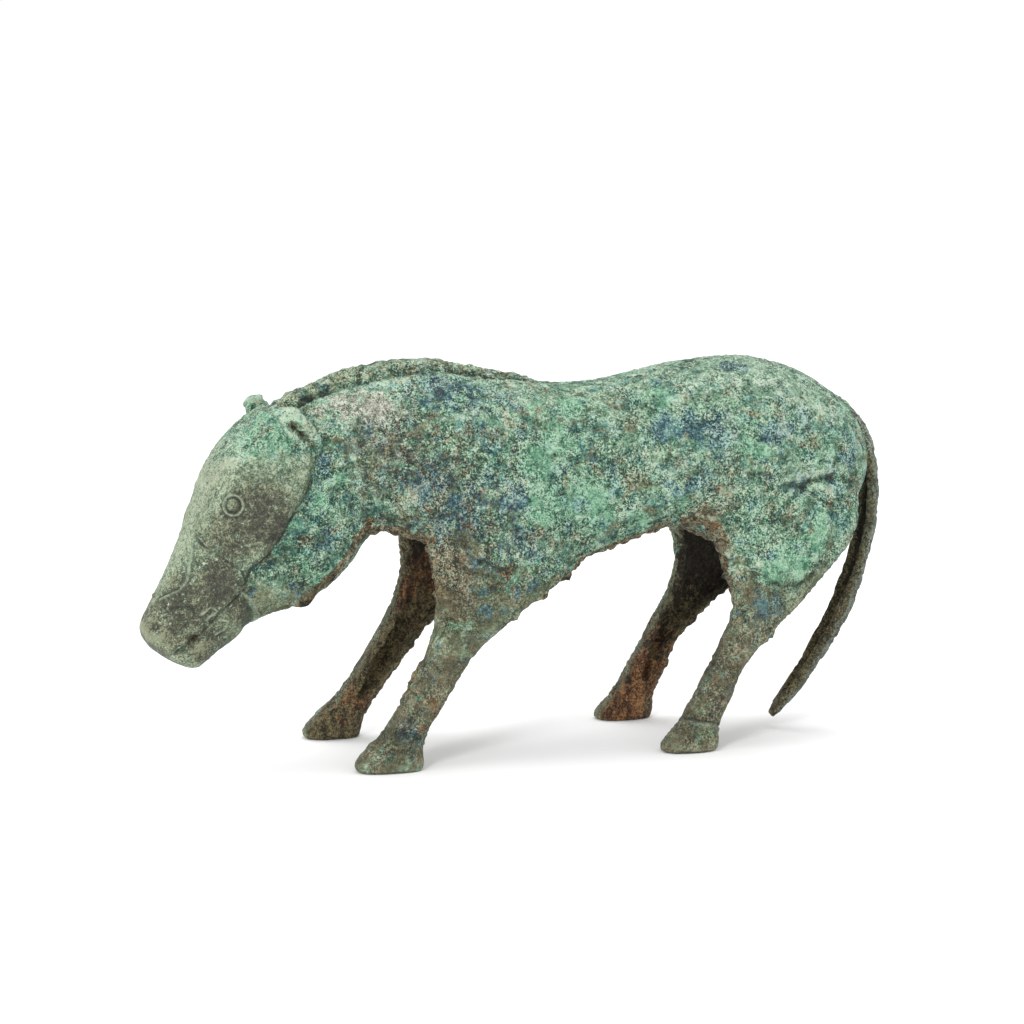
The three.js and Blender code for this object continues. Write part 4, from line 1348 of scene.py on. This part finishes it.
# %% Lay the layers over one another
pale_tips = tone.step(0.5, 0.72)
bare_here, mixed = mask("bare"), mask("mixed")
on_crust = 1 - bare_here


def scattered(size, shift, least):
    """Ragged patches about size mm wide, the fewer the higher least is."""
    return noise(size, 5, shift, 0.68, ragged).step(least, least + 0.03)


# the scattered patches
outer = blend(scattered(5, 91, 0.52) * 0.75, crust, teal)
outer = blend(scattered(6, 81, 0.55) * 0.6, outer, green)
outer = blend(spread(mask("olive") * 0.8).most(scattered(5, 61, 0.55)) * 0.85, outer, olive)
outer = blend(scattered(2.6, 101, 0.6 - mixed * 0.12) * 0.75, outer, buff)
outer = blend(scattered(3.2, 141, 0.62 - mixed * 0.12) * 0.7, outer, slate)
outer = blend(scattered(4, 71, 0.58 - mixed * 0.03) * (0.9 - pale_tips * 0.5), outer, blue)
outer = blend(scattered(7, 111, 0.57) * 0.6, outer, pale)
# the placed patches
# pale chalk crust, and painted top light on the forehead and the rump
outer = blend(spread(mask("chalk and top light") * 0.8) * 0.8, outer, pale)
outer = blend(spread(mask("cream") * 0.85) * 0.85, outer, cream)
outer = blend(spread(mask("malachite") * 0.95) * 0.95, outer, green)
outer = blend(spread(mask("azurite") * 0.9) * (1 - pale_tips * 0.55), outer, blue)
outer = blend(spread(mask("earth") * 0.85) * 0.8, outer, buff)
# the worn face
bare = bare_here * 1.5 + (fine_edges - 0.5) * 1.6 + (edges - 0.5) * 1.4 - 0.6
outer = blend(bare.step(-0.2, 0.3) * 0.85, outer, face_tone)
worn = mask("worn") * 1.2 + (edges - 0.5) * 0.9 + (fine_edges - 0.5) * 0.7 - 0.55
outer = blend(worn.step(-0.3, 0.3) * 0.9, outer, skin_tone)
outer = blend(bare_here * small_fleck.step(0.93, 0.95) * 0.6, outer, pale)
# the tail and the crusted rims
outer = blend(spread(mask("tail") * 1.1) * 0.9, outer, soil)
outer = blend(spread(mask("tail back")) * 0.6, outer, slate)
crusty = blend(scattered(3, 121, 0.5) * 0.7, soil, buff)
crusty = blend(scattered(2, 131, 0.56) * 0.6, crusty, rusty)
outer = blend(spread(mask("crusted") * 0.9), outer, crusty)
# pale threads, dark pits and cracks, rust, and the carved lines
outer = blend(lace * on_crust * rugged * (0.75 - fine * 0.5), outer, pale)
outer = blend(pit.most(crack) * on_crust * (0.7 - fine * 0.3), outer, crack_colour)
rust_here = spread(mask("rust") * 0.8)
outer = blend(rust_here * 0.4, outer, soil)
rust_specks = rust_here * small_tint.step(0.5, 0.56) + mixed * small_tint.step(0.965, 0.975)
outer = blend(rust_specks * on_crust, outer, rusty)
# dark stains, and painted shade low on the muzzle
outer = blend(spread(mask("stain") * 0.8, 0.2) * 0.7, outer, dark_stain_and_shade)
grooved = (mask("dark line") + (fine_edges - 0.5) * 0.9).step(0.3, 0.9)
outer = blend(grooved * (0.72 - bare_here * 0.2), outer, groove_colour)
outer = blend(mask("pale line") * (grit * 0.4 + 0.45), outer, ridge_colour)
# inside the hollow and the legs: soil, rust and painted deep shade
deep = blend(spread(mask("deep rust") * 0.95) * 0.9, soil, rusty)
deep = blend(spread(mask("painted deep shade")), deep, deep_shade_colour)
whole = blend(mask("within"), outer, deep)

# %% [markdown]
# The crust is matt and gritty, and the worn face has a faint sheen. The bump stands for grains that
# are finer than the mesh; the larger ones are real geometry.

# %% The patina's surface
BUMP_HEIGHT = 0.4 * MM
height = (speck * 0.25 + grit * 0.5 + lace * 0.4 + small_tone * 0.35 - pit * 0.5) * (1 - bare_here * 0.6)
bump = Wire.node("Bump", sockets={"Strength": 0.8, "Distance": BUMP_HEIGHT, "Height": height})
sockets = {"Base Color": whole, "Roughness": 0.85 - bare_here * 0.27, "Normal": bump}
surface = Wire.node("BsdfPrincipled", sockets=sockets)
Wire.node("OutputMaterial", sockets={"Surface": surface})
horse.data.materials.clear()
horse.data.materials.append(bronze)
print("material nodes:", len(bronze.node_tree.nodes))

# %% [markdown]
# The stage is a studio table: a pale floor that runs far back and an even white surround. One broad
# lamp stands in front on the left, so that soft shadows fall back and to the right of the hooves, and
# a wider one hangs overhead.

# %% Stage
bpy.context.scene.view_settings.view_transform = "Standard"
FLOOR_SIDE = 30
FLOOR_HEIGHT = -0.1 * MM
SURROUND_STRENGTH = 1.05
corners = [(x, y, FLOOR_HEIGHT) for x, y in ((-1, -1), (1, -1), (1, 1), (-1, 1))]
corners = [(x * FLOOR_SIDE, y * FLOOR_SIDE, z) for x, y, z in corners]
floor = mesh_object("floor", [(corners, [(0, 1, 2, 3)])])
floor_paint = bpy.data.materials.new("studio floor")
Wire.start(floor_paint)
matt = Wire.node("BsdfDiffuse", sockets={"Color": (0.96, 0.96, 0.96, 1)})
Wire.node("OutputMaterial", sockets={"Surface": matt})
floor.data.materials.append(floor_paint)

surround = bpy.data.worlds.new("studio")
surround.use_nodes = True
glow = surround.node_tree.nodes["Background"].inputs
glow["Color"].default_value = (1, 1, 1, 1)
glow["Strength"].default_value = SURROUND_STRENGTH
bpy.context.scene.world = surround
LAMPS_AIM = Vector((0, 0, 0.05))


def softbox(name, at, size, power):
    """A round lamp of soft light that points at the middle of the horse."""
    lamp = bpy.data.lights.new(name, "AREA")
    lamp.shape = "DISK"
    lamp.size = size
    lamp.energy = power
    stand = bpy.data.objects.new(name, lamp)
    stand.location = at
    stand.rotation_mode = "QUATERNION"
    stand.rotation_quaternion = (LAMPS_AIM - Vector(at)).to_track_quat("-Z", "Y")
    bpy.context.collection.objects.link(stand)


softbox("front left lamp", (-1.0, -1.3, 1.1), 0.45, 12)
softbox("top lamp", (0.35, 0.3, 1.3), 0.9, 6)

# %% [markdown]
# Last, the skin is scaled from millimetres to metres, moved so that the middle of its length is at
# x = 0, and handed to the frame: it stands for the plain solid and rides on the one body.

# %% Hand over to the frame
points = read_points(horse.data)
points[:, 0] += CENTRE_SHIFT
write_points(horse.data, points * MM)
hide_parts("horse")
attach(horse, "root")
